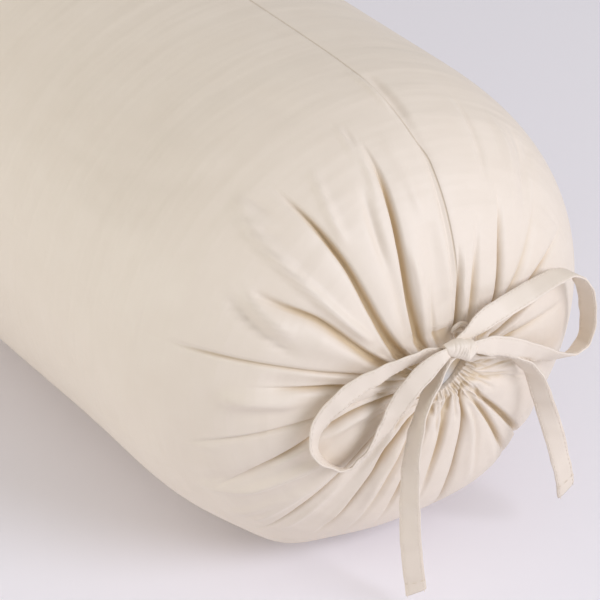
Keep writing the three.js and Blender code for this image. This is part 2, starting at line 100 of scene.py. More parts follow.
# The main folds of the tied end, in millimetres: depth, breadth of the flat floor at the stitch
# line and at the outer end, softness of the side towards the smaller and towards the greater
# angle, shares of the depth at the stitch line and of the length over which it holds, and then
# the angle and arc of the points that the fold runs through
FOLDS = (
    (2.0, 0.0, 0.0, 2.0, 2.0, 0.6, 0.2, (8, 25), (6, 55), (4, 85)),
    (5.0, 1.6, 0.6, 1.0, 0.8, 0.8, 0.5, (20, 25), (20, 48), (18, 78)),
    (3.2, 0.0, 0.0, 1.6, 1.6, 0.5, 0.4, (31, 25), (30, 55), (28, 95)),
    (2.0, 0.0, 0.0, 2.6, 2.6, 0.5, 0.2, (37, 25), (40, 50), (44, 76), (47, 120)),
    (4.8, 0.4, 0.2, 1.8, 0.6, 1.0, 0.2, (44.5, 25), (47.5, 37), (53, 47), (58, 58), (62.1, 78),
     (64, 94)),
    (2.5, 0.0, 0.0, 1.5, 1.5, 0.6, 0.2, (62, 25), (69, 45), (72, 76)),
    (2.8, 0.9, 0.0, 0.8, 0.6, 1.0, 0.2, (75.5, 25), (78, 37), (79.5, 50), (80.5, 64)),
    (0.8, 0.0, 0.0, 2.4, 0.8, 0.3, 0.6, (81, 25), (82.5, 39), (84, 58), (84.9, 80), (84.6, 104),
     (85.3, 132)),
    (1.1, 0.0, 0.0, 1.1, 0.8, 1.0, 0.2, (100, 25), (98, 35), (94, 56)),
    (4.2, 1.7, 0.5, 1.1, 1.0, 0.8, 0.5, (114, 25), (111, 35), (107.2, 51), (103.9, 66), (101.4, 80),
     (99.5, 94), (98.2, 122)),
    (1.2, 0.0, 0.0, 3.0, 3.0, 0.6, 0.2, (122, 25), (114, 50), (109, 80), (107, 108)),
    (4.0, 2.8, 0.5, 1.0, 1.1, 1.0, 0.55, (136, 25), (131, 38), (126, 55), (122.5, 72), (121, 90),
     (121.4, 130)),
    (2.9, 2.2, 0.8, 0.9, 2.1, 1.1, 0.55, (150, 25), (147, 37), (143.2, 53), (141.3, 68),
     (142.8, 88), (144, 112)),
    (2.0, 0.0, 0.0, 0.9, 0.9, 0.8, 0.7, (158.5, 25), (159.9, 50), (160.5, 76), (161.8, 98),
     (164.5, 134)),
    (2.8, 0.0, 0.4, 0.8, 1.5, 0.5, 0.45, (166, 25), (167.6, 50), (168, 70), (168.5, 92)),
    (1.6, 0.0, 0.0, 0.5, 1.3, 0.6, 0.6, (178, 25), (181.3, 50), (183.2, 72), (185.6, 92),
     (190, 124)),
    (4.0, 0.4, 0.0, 0.6, 1.9, 0.8, 0.2, (186, 25), (185.5, 36), (189.8, 55), (193.2, 66),
     (199.4, 90), (207, 120)),
    (0.8, 0.0, 0.0, 4.0, 4.0, 0.5, 0.2, (197, 25), (201, 60), (210, 106)),
    (2.9, 0.0, 0.0, 0.5, 1.3, 0.6, 0.55, (212, 25), (217, 42), (220, 62), (222.5, 82), (229, 118)),
    (1.0, 0.0, 0.0, 2.5, 2.5, 0.5, 0.2, (225, 25), (228, 60), (233, 104)),
    (5.2, 1.0, 0.4, 1.0, 1.5, 0.9, 0.4, (239, 25), (236, 40), (236, 54), (237.8, 76), (240, 102)),
    (2.0, 0.0, 0.0, 1.6, 1.6, 0.6, 0.3, (247, 25), (248, 60), (249, 104)),
    (3.4, 0.4, 0.0, 1.4, 1.2, 0.6, 0.3, (258, 25), (257, 50), (257, 92)),
    (3.0, 1.0, 0.4, 1.5, 1.1, 0.7, 0.2, (277, 25), (274.5, 37), (271.5, 50), (268.5, 86)),
    (4.6, 0.0, 0.0, 0.5, 1.7, 0.6, 0.5, (294, 25), (289.5, 37), (284.5, 50), (281.5, 66),
     (279.5, 104)),
    (1.2, 0.0, 0.0, 1.2, 1.6, 0.5, 0.3, (299, 25), (298, 40), (293, 62), (291, 92)),
    (3.0, 0.3, 0.8, 0.7, 1.0, 0.4, 0.5, (304, 25), (304.7, 44), (304.6, 64), (305, 100)),
    (3.4, 0.4, 1.4, 0.7, 0.8, 0.35, 0.65, (310, 25), (311.3, 48), (312, 68), (312.4, 84),
     (310.5, 108)),
    (0.8, 0.0, 0.0, 2.5, 2.5, 0.5, 0.2, (327, 25), (331, 48), (335, 70)),
    (0.8, 0.0, 0.0, 2.5, 2.5, 0.5, 0.2, (343, 25), (348, 52), (352, 80)),
)

# A fold gains its full depth in the first share of its length and narrows to its end, with a
# broad low shoulder on both sides
FOLD_RISE = 0.22
FOLD_NARROWING = 0.25
SHOULDER_SHARE, SHOULDER_WIDTH = 0.22, 0.0042
VALLEY_POWER = 1.25

# Soft ridges and valleys between the main folds, in millimetres: height (under zero is a
# valley), half width, then the angle and arc of the points that its line runs through
SOFT_FOLDS = (
    (2.8, 2.0, (138, 40), (136, 66), (134, 90), (132, 110), (128.5, 130)),
    (1.4, 1.6, (125.5, 134), (127, 118), (128, 104)),
    (-1.3, 1.5, (123.5, 130), (125.5, 119), (127, 108)),
    (1.6, 2.0, (118.5, 80), (116.5, 94), (114.5, 104), (111, 120)),
    (1.0, 1.4, (103, 104), (101.4, 116), (100, 130)),
    (-0.7, 1.2, (100.5, 112), (99, 128)),
    (1.2, 1.3, (103, 88), (101.2, 104), (99.8, 120)),
    (-1.5, 2.2, (111.5, 62), (109, 77), (107, 87), (104, 102)),
    (2.9, 2.6, (150, 72), (148.5, 84), (146.5, 95), (142.5, 108)),
    (-1.9, 1.8, (156.5, 66), (154.2, 78), (151.8, 92), (148.8, 104), (146, 116)),
    (2.2, 2.8, (173.6, 60), (173, 82), (173, 104)),
    (-1.4, 3.5, (166, 40), (165, 66), (166, 88)),
    (-0.9, 5.0, (171, 92), (176, 112)),
    (-1.0, 4.0, (176, 50), (177, 96)),
    (0.8, 2.2, (190, 96), (189, 120)),
    (-1.3, 3.5, (196, 70), (200, 92), (202, 118)),
    (1.4, 2.6, (207, 50), (205, 80), (206, 95), (205, 122)),
    (1.1, 2.2, (195, 56), (199, 86)),
    (1.3, 3.0, (214, 50), (215, 90), (218, 118)),
    (-1.0, 3.5, (46, 52), (50, 92), (44, 124)),
    (0.9, 3.0, (56, 70), (57, 120)),
    (1.7, 1.8, (81, 156), (84, 139), (87, 118)),
    (-2.0, 1.9, (82, 156), (81.7, 140), (83.2, 126), (84.2, 108)),
    (-1.4, 1.9, (57, 138), (62.8, 112), (65.1, 96), (67, 76)),
    (-1.4, 2.2, (46.5, 128), (47.3, 110), (48.3, 99), (50, 76)),
    (1.0, 2.4, (53, 132), (56, 110), (57, 84)),
    (0.8, 3.0, (92, 60), (93, 120)),
    (1.4, 1.8, (108, 24), (105, 35), (102, 50), (100, 70)),
    (-1.9, 4.2, (90, 26), (91, 45), (93, 84)),
    (1.1, 1.3, (66, 24), (72, 31), (76, 42), (78, 62)),
    (1.3, 2.6, (206, 56), (205, 72), (206, 88), (206, 104)),
    (1.3, 2.0, (216, 56), (216, 74), (219, 92), (223, 112)),
    (1.0, 1.6, (224, 56), (225, 70), (227, 84), (230, 104)),
    (1.4, 2.2, (234, 40), (233.5, 54), (235, 68), (238, 90)),
    (1.2, 2.0, (244, 32), (243, 42), (242, 56), (245, 76)),
    (1.0, 1.6, (293, 28), (296, 34), (290, 60), (288, 84)),
    (0.8, 1.4, (301, 50), (300, 66), (300, 92)),
    (1.4, 1.6, (232, 25), (229, 33), (228, 46), (230, 60)),
    (1.2, 2.2, (194, 24), (193, 41), (195, 60)),
    (-0.7, 0.8, (351, 25), (347, 36), (345, 48)),
    (-0.6, 0.8, (337, 24), (344, 42)),
    (-0.7, 0.8, (324, 25), (331, 33), (335, 56)),
    (-0.8, 5.0, (104, 130), (112, 190), (116, 240)),
    (0.9, 6.0, (124, 140), (130, 200), (132, 260)),
    (-0.9, 6.0, (132, 145), (140, 200), (143, 270)),
    (0.8, 7.0, (146, 150), (152, 220)),
    (-0.8, 7.0, (158, 150), (165, 230), (166, 300)),
    (0.8, 7.0, (176, 150), (180, 260)),
    (-0.8, 6.0, (192, 130), (194, 210)),
)
SOFT_TAPER = 14.0
SOFT_TAPER_SHARE = 0.4

# Broad swells of the filling: angle, arc, spread in angle, spread in arc, height
SWELLS = (
    (148, 0.062, 5, 0.024, 0.0025),
    (172, 0.088, 3.5, 0.014, 0.002),
    (214, 0.205, 18, 0.060, -0.0024),
    (240, 0.115, 10, 0.015, 0.0032),
    (297, 0.092, 15, 0.024, 0.0034),
    (318, 0.104, 5, 0.014, 0.0024),
)

# Far end: depths and reaches wander round middle values, and a tuft closes its middle
FAR_DEPTH, FAR_DEPTH_WANDER = 0.005, 0.002
FAR_REACH, FAR_REACH_WANDER = 0.096, 0.026
FAR_WIDTH = 0.0045
TUFT_HEIGHT, TUFT_RADIUS = 0.0026, 0.006
TUFT_GROOVE_ARC, TUFT_GROOVE_DEPTH, TUFT_GROOVE_WIDTH = 0.010, 0.0035, 0.004
WANDER_STEP = 2.4

# The seam runs the length of the cover near the top, pulled a little into the filling, along
# angles and arcs in millimetres. Over the knot the channel's stitches lie in a shallow groove,
# which is also painted darker as shade.
SEAM_PATH = ((80.5, 25), (82, 39), (84, 58), (85, 80), (85.3, 106), (86, 140))
SEAM_DEPTH, SEAM_WIDTH = 0.0006, 0.0020
SEAM_SHOWN, SEAM_HIDE, SEAM_HIDE_OVER = 0.112, 0.002, 0.015
GROOVE_ANGLE, GROOVE_SPREAD, GROOVE_SHADE = 92, 11, 2.0
GROOVE_DEPTH, GROOVE_WIDTH = 0.0012, 0.0010

# Mesh of the cover: columns in each gap between two folds, for the gap and for each degree, and
# the row steps along the cover as pairs of an arc and the step that is used up to it
COLUMNS_OF_GAP, COLUMNS_OF_DEGREE = 4.5, 1.22
COLUMN_CROWDING = 0.5
NEAR_STEPS = ((0.060, 0.0010), (0.136, 0.0021), (0.200, 0.0043), (0.5232, 0.018))
FAR_STEPS = ((0.040, 0.0040), (0.130, 0.0090), (0.200, 0.014), (0.5232, 0.040))


def smooth(value):
    value = np.clip(value, 0.0, 1.0)
    return value * value * (3.0 - 2.0 * value)


def make_crown_outline():
    """Arcs from the middle of an end over its round, with the x and the radius at each."""
    turn = np.linspace(math.pi / 2, 0.0, CROWN_STEPS)
    power = 2.0 / CROWN_POWER
    x = HALF - CROWN_DEPTH + CROWN_DEPTH * np.sin(turn) ** power
    radius = RADIUS * np.maximum(np.cos(turn), 0.0) ** power
    radius[0] = 0.0
    arc = np.concatenate([[0.0], np.cumsum(np.hypot(np.diff(x), np.diff(radius)))])
    return arc, x, radius


CROWN_ARC, CROWN_X, CROWN_RADIUS = make_crown_outline()
CROWN_END = CROWN_ARC[-1]
COVER_HALF_ARC = CROWN_END + HALF - CROWN_DEPTH
CROWN_SLOPE_X = np.gradient(CROWN_X, CROWN_ARC)
CROWN_SLOPE_RADIUS = np.gradient(CROWN_RADIUS, CROWN_ARC)


def outline_at(arc):
    """Height along x, radius and their slopes at arcs from the middle of an end."""
    beyond = np.maximum(arc - CROWN_END, 0.0)
    x = np.interp(arc, CROWN_ARC, CROWN_X) - beyond
    radius = np.interp(arc, CROWN_ARC, CROWN_RADIUS)
    slope_x = np.interp(arc, CROWN_ARC, CROWN_SLOPE_X)
    slope_radius = np.interp(arc, CROWN_ARC, CROWN_SLOPE_RADIUS)
    return x, radius, slope_x, slope_radius


def line_angle(line, arc):
    """Angle at each arc of a smooth line through points of an angle and an arc in millimetres."""
    angles, arcs = np.array(line, dtype=float).T
    arcs = arcs / 1000.0
    slopes = np.gradient(angles, arcs)
    at = np.clip(np.searchsorted(arcs, arc) - 1, 0, len(arcs) - 2)
    step = arcs[at + 1] - arcs[at]
    part = np.clip((arc - arcs[at]) / step, 0.0, 1.0)
    rest = 1.0 - part
    return (
        angles[at] * (1.0 + 2.0 * part) * rest ** 2
        + angles[at + 1] * (3.0 - 2.0 * part) * part ** 2
        + step * part * rest * (slopes[at] * rest - slopes[at + 1] * part)
    )


def read_fold(row):
    depth, floor_near, floor_out, small, great = (value / 1000.0 for value in row[:5])
    return {
        "depth": depth, "floors": (floor_near, floor_out), "softness": (small, great),
        "start": row[5], "hold": row[6], "line": row[7:],
    }


fold_rows = [read_fold(row) for row in FOLDS]


def fold_progress(fold, arc):
    """Share of a fold's length at each arc, 0 at the stitch line and 1 where it ends."""
    reach = fold["line"][-1][1] / 1000.0
    return np.clip((arc - STITCH_ARC) / (reach - STITCH_ARC), 0.0, 1.0)


def fold_depth(fold, progress):
    rise = fold["start"] + (1.0 - fold["start"]) * smooth(progress / FOLD_RISE)
    fade = 1.0 - smooth((progress - fold["hold"]) / (1.0 - fold["hold"]))
    return fold["depth"] * rise * fade


def fold_valley(fold, away, progress):
    """Share of a fold's depth across it: a flat floor and a softer or sharper side each way."""
    floor_near, floor_out = fold["floors"]
    floor = floor_out + (floor_near - floor_out) * (1.0 - progress) ** 3
    small, great = fold["softness"]
    softness = np.where(away > 0.0, great, small) * (1.0 - FOLD_NARROWING * progress)
    beyond = np.maximum(np.abs(away) - floor / 2, 0.0)
    return bell(beyond / softness)


def angle_between(a, b):
    """Degrees from b to a the short way round, from -180 to 180."""
    return (a - b + 180.0) % 360.0 - 180.0


def bell(value):
    """1 at zero, falling smoothly to almost nothing at 2 on both sides."""
    return np.exp(-(value ** 2))


def seam_distance(arc, angle, radius):
    """Metres from the seam that runs the length of the cover, over zero past its angle."""
    return np.radians(angle_between(angle, line_angle(SEAM_PATH, arc))) * radius


def soft_relief(arc, angle, radius):
    """Height of the soft ridges and valleys, in metres."""
    relief = np.zeros_like(angle)
    run = arc * 1000.0
    for height, width, *line in SOFT_FOLDS:
        angles, arcs = np.array(line).T
        middle = np.interp(run, arcs, angles)
        away = np.radians(angle_between(angle, middle)) * radius * 1000.0
        taper = min(SOFT_TAPER, SOFT_TAPER_SHARE * (arcs[-1] - arcs[0]))
        shown = smooth((run - arcs[0]) / taper) * smooth((arcs[-1] - run) / taper)
        relief += height / 1000.0 * shown * bell(away / width)
    return relief


def groove_depth(away, angle):
    """Depth of the groove that the channel's stitches pull in over the knot."""
    share = bell(angle_between(angle, GROOVE_ANGLE) / GROOVE_SPREAD)
    return GROOVE_DEPTH * share * bell(away / GROOVE_WIDTH)


def near_relief(arc, angle, radius):
    """Height of the surface, and how deep it lies in a crease, in metres.

    The depth, with the stitch groove counted in more strongly, sets the painted crease shade.
    """
    relief = np.zeros_like(angle)
    crease = np.zeros_like(angle)
    for fold in fold_rows:
        away = np.radians(angle_between(angle, line_angle(fold["line"], arc))) * radius
        progress = fold_progress(fold, arc)
        valley = fold_depth(fold, progress) * fold_valley(fold, away, progress)
        shoulder = fold_depth(fold, progress) * bell(away / SHOULDER_WIDTH)
        relief -= valley + SHOULDER_SHARE * shoulder
        crease += valley
    for swell_angle, swell_arc, spread_angle, spread_arc, height in SWELLS:
        round_it = angle_between(angle, swell_angle) / spread_angle
        along = (arc - swell_arc) / spread_arc
        relief += height * np.exp(-round_it ** 2 - along ** 2)
    relief += soft_relief(arc, angle, radius)
    seam = seam_distance(arc, angle, radius)
    relief -= SEAM_DEPTH * bell(seam / SEAM_WIDTH)
    groove = groove_depth(arc - STITCH_ARC, angle)
    return relief - groove, crease + GROOVE_SHADE * groove


def far_relief(arc, angle, radius):
    """Height of the far end's surface over the plain round one, in metres."""
    relief = np.zeros_like(angle)
    for index, fold in enumerate(fold_rows):
        depth = FAR_DEPTH + FAR_DEPTH_WANDER * math.sin(index * WANDER_STEP)
        reach = FAR_REACH + FAR_REACH_WANDER * math.cos(index * WANDER_STEP * 2)
        away = np.radians(angle_between(angle, fold["line"][-1][0])) * radius
        fade = smooth(arc / TUFT_GROOVE_ARC) * (1.0 - smooth(arc / reach))
        relief -= depth * fade * np.exp(-np.abs(away / FAR_WIDTH) ** VALLEY_POWER)
    relief += TUFT_HEIGHT * bell(arc / TUFT_RADIUS)
    relief -= TUFT_GROOVE_DEPTH * bell((arc - TUFT_GROOVE_ARC) / TUFT_GROOVE_WIDTH)
    return relief


def stitch_point(angle):
    """y and z of the stitch line, a wide oval that lies a little above the middle."""
    turn = np.radians(angle)
    return STITCH_Y + STITCH_ACROSS * np.cos(turn), STITCH_Z + STITCH_UP * np.sin(turn)


def mouth_point(angle):
    """y and z of the opening's edge, a slim oval that leans to the upper right."""
    own = np.radians(angle) - MOUTH_TURN
    along = MOUTH_LONG * np.cos(own)
    across = MOUTH_SHORT * np.sin(own)
    y = MOUTH_Y + along * math.cos(MOUTH_TURN) - across * math.sin(MOUTH_TURN)
    z = MOUTH_Z + along * math.sin(MOUTH_TURN) + across * math.cos(MOUTH_TURN)
    return y, z


def column_places():
    """The fold before each column and the column's share of the gap to the next fold.

    The counts are multiples of three, so that the coarse copy for the simulation keeps the folds.
    """
    ring = np.array([fold["line"][0][0] for fold in fold_rows], dtype=float)
    gaps = (np.roll(ring, -1) - ring) % 360.0
    before = []
    parts = []
    for index, gap in enumerate(gaps):
        count = 3 * max(3, round((COLUMNS_OF_GAP + COLUMNS_OF_DEGREE * gap) / 3))
        part = np.arange(count) / count
        crowded = 0.5 - 0.5 * np.cos(math.pi * part)
        before.extend([index] * count)
        parts.extend(part + (crowded - part) * COLUMN_CROWDING)
    return np.array(before), np.array(parts)


def column_angles(arc):
    """Angle of every column at each arc: the columns run along the folds and crowd at them."""
    lines = np.array([line_angle(fold["line"], arc) for fold in fold_rows])
    gaps = (np.roll(lines, -1, axis=0) - lines) % 360.0
    before, parts = column_places()
    return (lines[before] + gaps[before] * parts[:, None]).T


def steps_to_arcs(start, steps):
    """Arcs of the rows, evenly spaced within each pair of an end and a step."""
    arcs = [start]
    for end, step in steps:
        count = max(1, round((end - arcs[-1]) / step))
        arcs.extend(np.linspace(arcs[-1], end, count + 1)[1:])
    return np.array(arcs)


def side_points(side, arcs):
    """Points of the cover at the given arcs from the middle of one end, row by row."""
    angle = column_angles(arcs if side > 0 else np.full_like(arcs, 1.0))
    arc = np.repeat(arcs[:, None], angle.shape[1], axis=1)
    x, radius, slope_x, slope_radius = outline_at(arc)
    y = BREADTH_RATIO * radius * np.cos(np.radians(angle))
    z = HEIGHT_RATIO * radius * np.sin(np.radians(angle))
    if side > 0:
        relief, crease = near_relief(arc, angle, radius)
        stitch_y, stitch_z = stitch_point(angle)
        plain = outline_at(np.array([STITCH_ARC]))[1][0]
        hold = 1.0 - smooth((arc - STITCH_ARC) / OFFSET_FADE)
        y += (stitch_y - BREADTH_RATIO * plain * np.cos(np.radians(angle))) * hold
        z += (stitch_z - HEIGHT_RATIO * plain * np.sin(np.radians(angle))) * hold
    else:
        relief = far_relief(arc, angle, radius)
        # Painted shade in the far end's creases, from how deep they lie.
        crease = np.maximum(-relief, 0.0)
    cosine = np.cos(np.radians(angle))
    sine = np.sin(np.radians(angle))
    points = np.stack([
        side * (x + relief * slope_radius),
        y - relief * slope_x * cosine,
        z - relief * slope_x * sine + AXIS_HEIGHT,
    ], axis=-1)
    return points, arc, angle, crease


near_arcs = steps_to_arcs(STITCH_ARC, NEAR_STEPS)
far_arcs = steps_to_arcs(0.0, FAR_STEPS)[:-1]
# Each side also gives its crease depths, which set the painted crease shade.
near_points, near_arc, near_angle, near_shade_depth = side_points(1, near_arcs)
far_points, far_arc, far_angle, far_shade_depth = side_points(-1, far_arcs)
cover_points = np.concatenate([near_points, far_points[::-1]])
cover_shade_depth = np.concatenate([near_shade_depth, far_shade_depth[::-1]])
cover_arc = np.concatenate([near_arc, 2 * COVER_HALF_ARC - far_arc[::-1]])
cover_angle = np.concatenate([near_angle, far_angle[::-1]])


# Filling of the cover
# The pillow inside pushes the cloth out between the folds. The cloth is inflated by simulation,
# held at the stitch line.

# Only what differs within a row is kept, up to the cap, so the lobes fill out and the bolster
# keeps its thickness
SIM_COLUMN_STEP = 3
SIM_ROW_STEP = 2
SIM_FRAMES = 20
SIM_PRESSURE = 4.0
SIM_CAP = 0.004
SIM_FREE_ARC = 0.035


def grid_faces(rows, columns):
    """Faces between rows of points that close on themselves."""
    row = np.arange(rows - 1)[:, None]
    column = np.arange(columns)[None, :]
    after = (column + 1) % columns
    corners = [row * columns + column, (row + 1) * columns + column,
               (row + 1) * columns + after, row * columns + after]
    return np.stack(np.broadcast_arrays(*corners), axis=-1).reshape(-1, 4)


def grid_mesh(name, points):
    """A mesh from rows of points that close on themselves across each row."""
    rows, columns, _ = points.shape
    faces = grid_faces(rows, columns)
    mesh = bpy.data.meshes.new(name)
    mesh.from_pydata(points.reshape(-1, 3).tolist(), [], faces.tolist())
    return mesh


def make_trial(coarse, held):
    """A cloth of the coarse points, each row held by a share of 0 to 1."""
    rows, columns, _ = coarse.shape
    trial = bpy.data.objects.new("filling_trial", grid_mesh("filling_trial", coarse))
    scene.collection.objects.link(trial)
    group = trial.vertex_groups.new(name="held")
    for row in range(rows):
        if held[row] > 0:
            ring = list(range(row * columns, (row + 1) * columns))
            group.add(ring, float(held[row]), "REPLACE")
    cloth = trial.modifiers.new("cloth", "CLOTH")
    settings = cloth.settings
    settings.quality = 5
    settings.mass = 0.3
    settings.tension_stiffness = 15
    settings.compression_stiffness = 15
    settings.shear_stiffness = 5
    settings.bending_stiffness = 0.5
    settings.use_pressure = True
    settings.uniform_pressure_force = SIM_PRESSURE
    settings.effector_weights.gravity = 0
    settings.vertex_group_mass = "held"
    cloth.point_cache.frame_start = 1
    cloth.point_cache.frame_end = SIM_FRAMES
    return trial


def run_trial(trial, shape):
    """Lets the cloth swell and returns its points, and removes it."""
    for number in range(1, SIM_FRAMES + 1):
        scene.frame_set(number)
    shaped = trial.evaluated_get(bpy.context.evaluated_depsgraph_get()).to_mesh()
    moved = np.empty(shape)
    shaped.vertices.foreach_get("co", moved.ravel())
    bpy.data.objects.remove(trial)
    scene.frame_set(1)
    return moved


def inflate(points, arcs):
    """Moves the rows of a coarse copy of the cover under pressure and returns how they moved."""
    coarse = points[::SIM_ROW_STEP, ::SIM_COLUMN_STEP]
    held = smooth(1.0 - (arcs[::SIM_ROW_STEP, 0] - STITCH_ARC) / (SIM_FREE_ARC - STITCH_ARC))
    held[-1] = 1.0
    move = run_trial(make_trial(coarse, held), coarse.shape) - coarse
    outward = coarse - coarse.mean(axis=1, keepdims=True)
    outward[..., 0] = 0.0
    outward /= np.maximum(np.linalg.norm(outward, axis=-1, keepdims=True), 1e-6)
    swell = (move * outward).sum(axis=-1, keepdims=True)
    move -= outward * swell.mean(axis=1, keepdims=True)
    move[..., 0] -= move[..., 0].mean(axis=1, keepdims=True)
    size = np.linalg.norm(move, axis=-1, keepdims=True)
    return move * (SIM_CAP * np.tanh(size / SIM_CAP) / np.maximum(size, 1e-9))


def spread_rows(values, step, count):
    """Smooth values between rows that lie a number of rows apart."""
    place = np.minimum(np.arange(count) / step, len(values) - 1)
    at = np.minimum(place.astype(int), len(values) - 2)
    part = (place - at)[:, None, None]
    before = values[np.maximum(at - 1, 0)]
    here = values[at]
    there = values[at + 1]
    after = values[np.minimum(at + 2, len(values) - 1)]
    slope_here = (there - before) / 2
    slope_there = (after - here) / 2
    bend = 3 * (there - here) - 2 * slope_here - slope_there
    close = 2 * (here - there) + slope_here + slope_there
    return here + slope_here * part + bend * part ** 2 + close * part ** 3


def spread_columns(values, step):
    """The same within each row, whose last value is followed by its first."""
    wrapped = np.concatenate([values[:, -1:], values, values[:, :3]], axis=1)
    turned = wrapped.transpose(1, 0, 2)
    count = values.shape[1] * step
    return spread_rows(turned, step, count + 3 * step)[step:step + count].transpose(1, 0, 2)


cover_move = inflate(cover_points, cover_arc)
cover_move = spread_columns(cover_move, SIM_COLUMN_STEP)
cover_points = cover_points + spread_rows(cover_move, SIM_ROW_STEP, len(cover_points))


# Gathers of the channel
# Small uneven wrinkles where the cloth is drawn up on the tape. They start at the edge of the
# opening and run out on the end, furthest towards the lower right. Over the knot the channel is
# nearly flat.

# Wall of the recess behind the edge: share of the opening's size, and x
CHANNEL_WALL = ((0.6, 0.4390), (1.0, 0.4395), (1.06, 0.4415), (1.06, 0.4440), (1.03, 0.4458))
CHANNEL_EDGE_X = 0.4466
CHANNEL_OPENING = 2.2
CHANNEL_BULGE = 0.0013
CHANNEL_WIDTH = 0.012
CHANNEL_FOLD_FADE = 1.1
CHANNEL_BEND, CHANNEL_EVEN = 0.85, 4
CHANNEL_ROWS = 24

# Rows of wrinkles: how many round the opening, then the ranges of their starts from its edge,
# of their lengths and of their depths, in metres
WRINKLE_ROWS = (
    (96, (-0.0025, -0.0005), (0.0060, 0.0105), (0.0006, 0.0011)),
    (96, (0.0030, 0.0070), (0.0050, 0.0110), (0.0005, 0.0010)),
    (72, (0.0080, 0.0140), (0.0060, 0.0190), (0.0004, 0.0008)),
)
WRINKLE_SEED = 7
WRINKLE_WANDER = 0.42
WRINKLE_WIDTH = (0.00024, 0.00042)
WRINKLE_WIDENING = 0.022
WRINKLE_SLANT = 7.0
WRINKLE_LIMIT = 0.0014
WRINKLE_END = 0.034
WRINKLE_FULLNESS = 0.7
GAIN_OF_LENGTH = 0.5
WRINKLE_SHADE_SHARE = 1.9
STRONG_ANGLE, STRONG_SPREAD, STRONG_GAIN = 325, 50, 0.5
FLAT_ANGLE, FLAT_SPREAD, FLATNESS = 92, 20, 0.88


def wrinkle_gain(angle):
    """How strong the wrinkles are at an angle: 1 at the sides, more below, little on top."""
    strong = bell(angle_between(angle, STRONG_ANGLE) / STRONG_SPREAD)
    flat = bell(angle_between(angle, FLAT_ANGLE) / FLAT_SPREAD)
    return (1.0 + STRONG_GAIN * strong) * (1.0 - FLATNESS * flat)


def draw_wrinkles():
    """Angle, start, length, depth, half width and slant of every wrinkle."""
    draw = np.random.default_rng(WRINKLE_SEED)
    rows = []
    for count, starts, lengths, depths in WRINKLE_ROWS:
        place = np.arange(count) + draw.uniform(-WRINKLE_WANDER, WRINKLE_WANDER, count)
        angle = place * 360.0 / count
        gain = wrinkle_gain(angle)
        rows.append(np.stack([
            angle,
            draw.uniform(*starts, count),
            draw.uniform(*lengths, count) * gain ** GAIN_OF_LENGTH,
            draw.uniform(*depths, count) * gain,
            draw.uniform(*WRINKLE_WIDTH, count),
            draw.uniform(-WRINKLE_SLANT, WRINKLE_SLANT, count),
        ], axis=-1))
    return np.concatenate(rows)


def wrinkle_relief(run, angle, degree):
    """Depth of the wrinkles: run is the way from the edge, degree the width of one degree."""
    relief = np.zeros_like(angle)
    for line, start, length, depth, width, slant in draw_wrinkles():
        progress = np.clip((run - start) / length, 0.0, 1.0)
        away = angle_between(angle, line + slant * (progress - 0.5)) * degree
        spread = width + WRINKLE_WIDENING * np.maximum(run, 0.0)
        valley = np.exp(-np.abs(away / spread) ** VALLEY_POWER)
        relief += depth * np.sin(math.pi * progress) ** WRINKLE_FULLNESS * valley
    return -WRINKLE_LIMIT * np.tanh(relief / WRINKLE_LIMIT)


def grid_normals(points):
    """Outward directions at the points of a grid that closes on itself across each row."""
    across = np.roll(points, -1, axis=1) - np.roll(points, 1, axis=1)
    along = np.gradient(points, axis=0)
    normals = np.cross(along, across)
    size = np.linalg.norm(normals, axis=-1, keepdims=True)
    return normals / np.maximum(size, 1e-12)


def even_out(values):
    """Mean of each value and its neighbours round the ring."""
    shifts = range(-CHANNEL_EVEN, CHANNEL_EVEN + 1)
    return sum(np.roll(values, shift) for shift in shifts) / (2 * CHANNEL_EVEN + 1)


def channel_points(ring, beyond):
    """Rows of the channel, from the middle of the recess over its edge to the stitch line.

    They leave the stitch line the way the folds come from beyond it, and bend to the opening.
    """
    angle = column_angles(np.array([STITCH_ARC]))[0]
    edge_y, edge_z = mouth_point(angle)
    way_y = even_out(ring[:, 1] - beyond[:, 1])
    way_z = even_out(ring[:, 2] - beyond[:, 2])
    reach = CHANNEL_BEND * np.hypot(ring[:, 1] - edge_y, ring[:, 2] - AXIS_HEIGHT - edge_z)
    reach = reach / np.hypot(way_y, way_z)
    rows = [(0.0, 0.0, CHANNEL_WALL[0][1])]
    rows.extend((0.0, scale, x) for scale, x in CHANNEL_WALL)
    rows.extend((index / CHANNEL_ROWS, 1.0, CHANNEL_EDGE_X) for index in range(CHANNEL_ROWS))
    mix, scale, x = (np.array(values)[:, None] for values in zip(*rows))
    rise = 1.0 - (1.0 - mix) ** CHANNEL_OPENING
    x = x + (STITCH_X - CHANNEL_EDGE_X) * rise + CHANNEL_BULGE * np.sin(math.pi * mix)
    groove = groove_depth((1.0 - mix) * CHANNEL_WIDTH, angle)
    own_fold = ring[:, 0] - STITCH_X + groove[-1]
    bow = mix ** 2 * (1.0 - mix) * 2.0 * reach
    y = edge_y + (ring[:, 1] - edge_y) * mix + bow * way_y
    z = edge_z + (ring[:, 2] - AXIS_HEIGHT - edge_z) * mix + bow * way_z
    points = np.stack(np.broadcast_arrays(
        x + own_fold * mix ** CHANNEL_FOLD_FADE - groove,
        MOUTH_Y + (y - MOUTH_Y) * scale,
        MOUTH_Z + (z - MOUTH_Z) * scale + AXIS_HEIGHT,
    ), axis=-1)
    return points, np.broadcast_to(angle, points.shape[:2]), mix


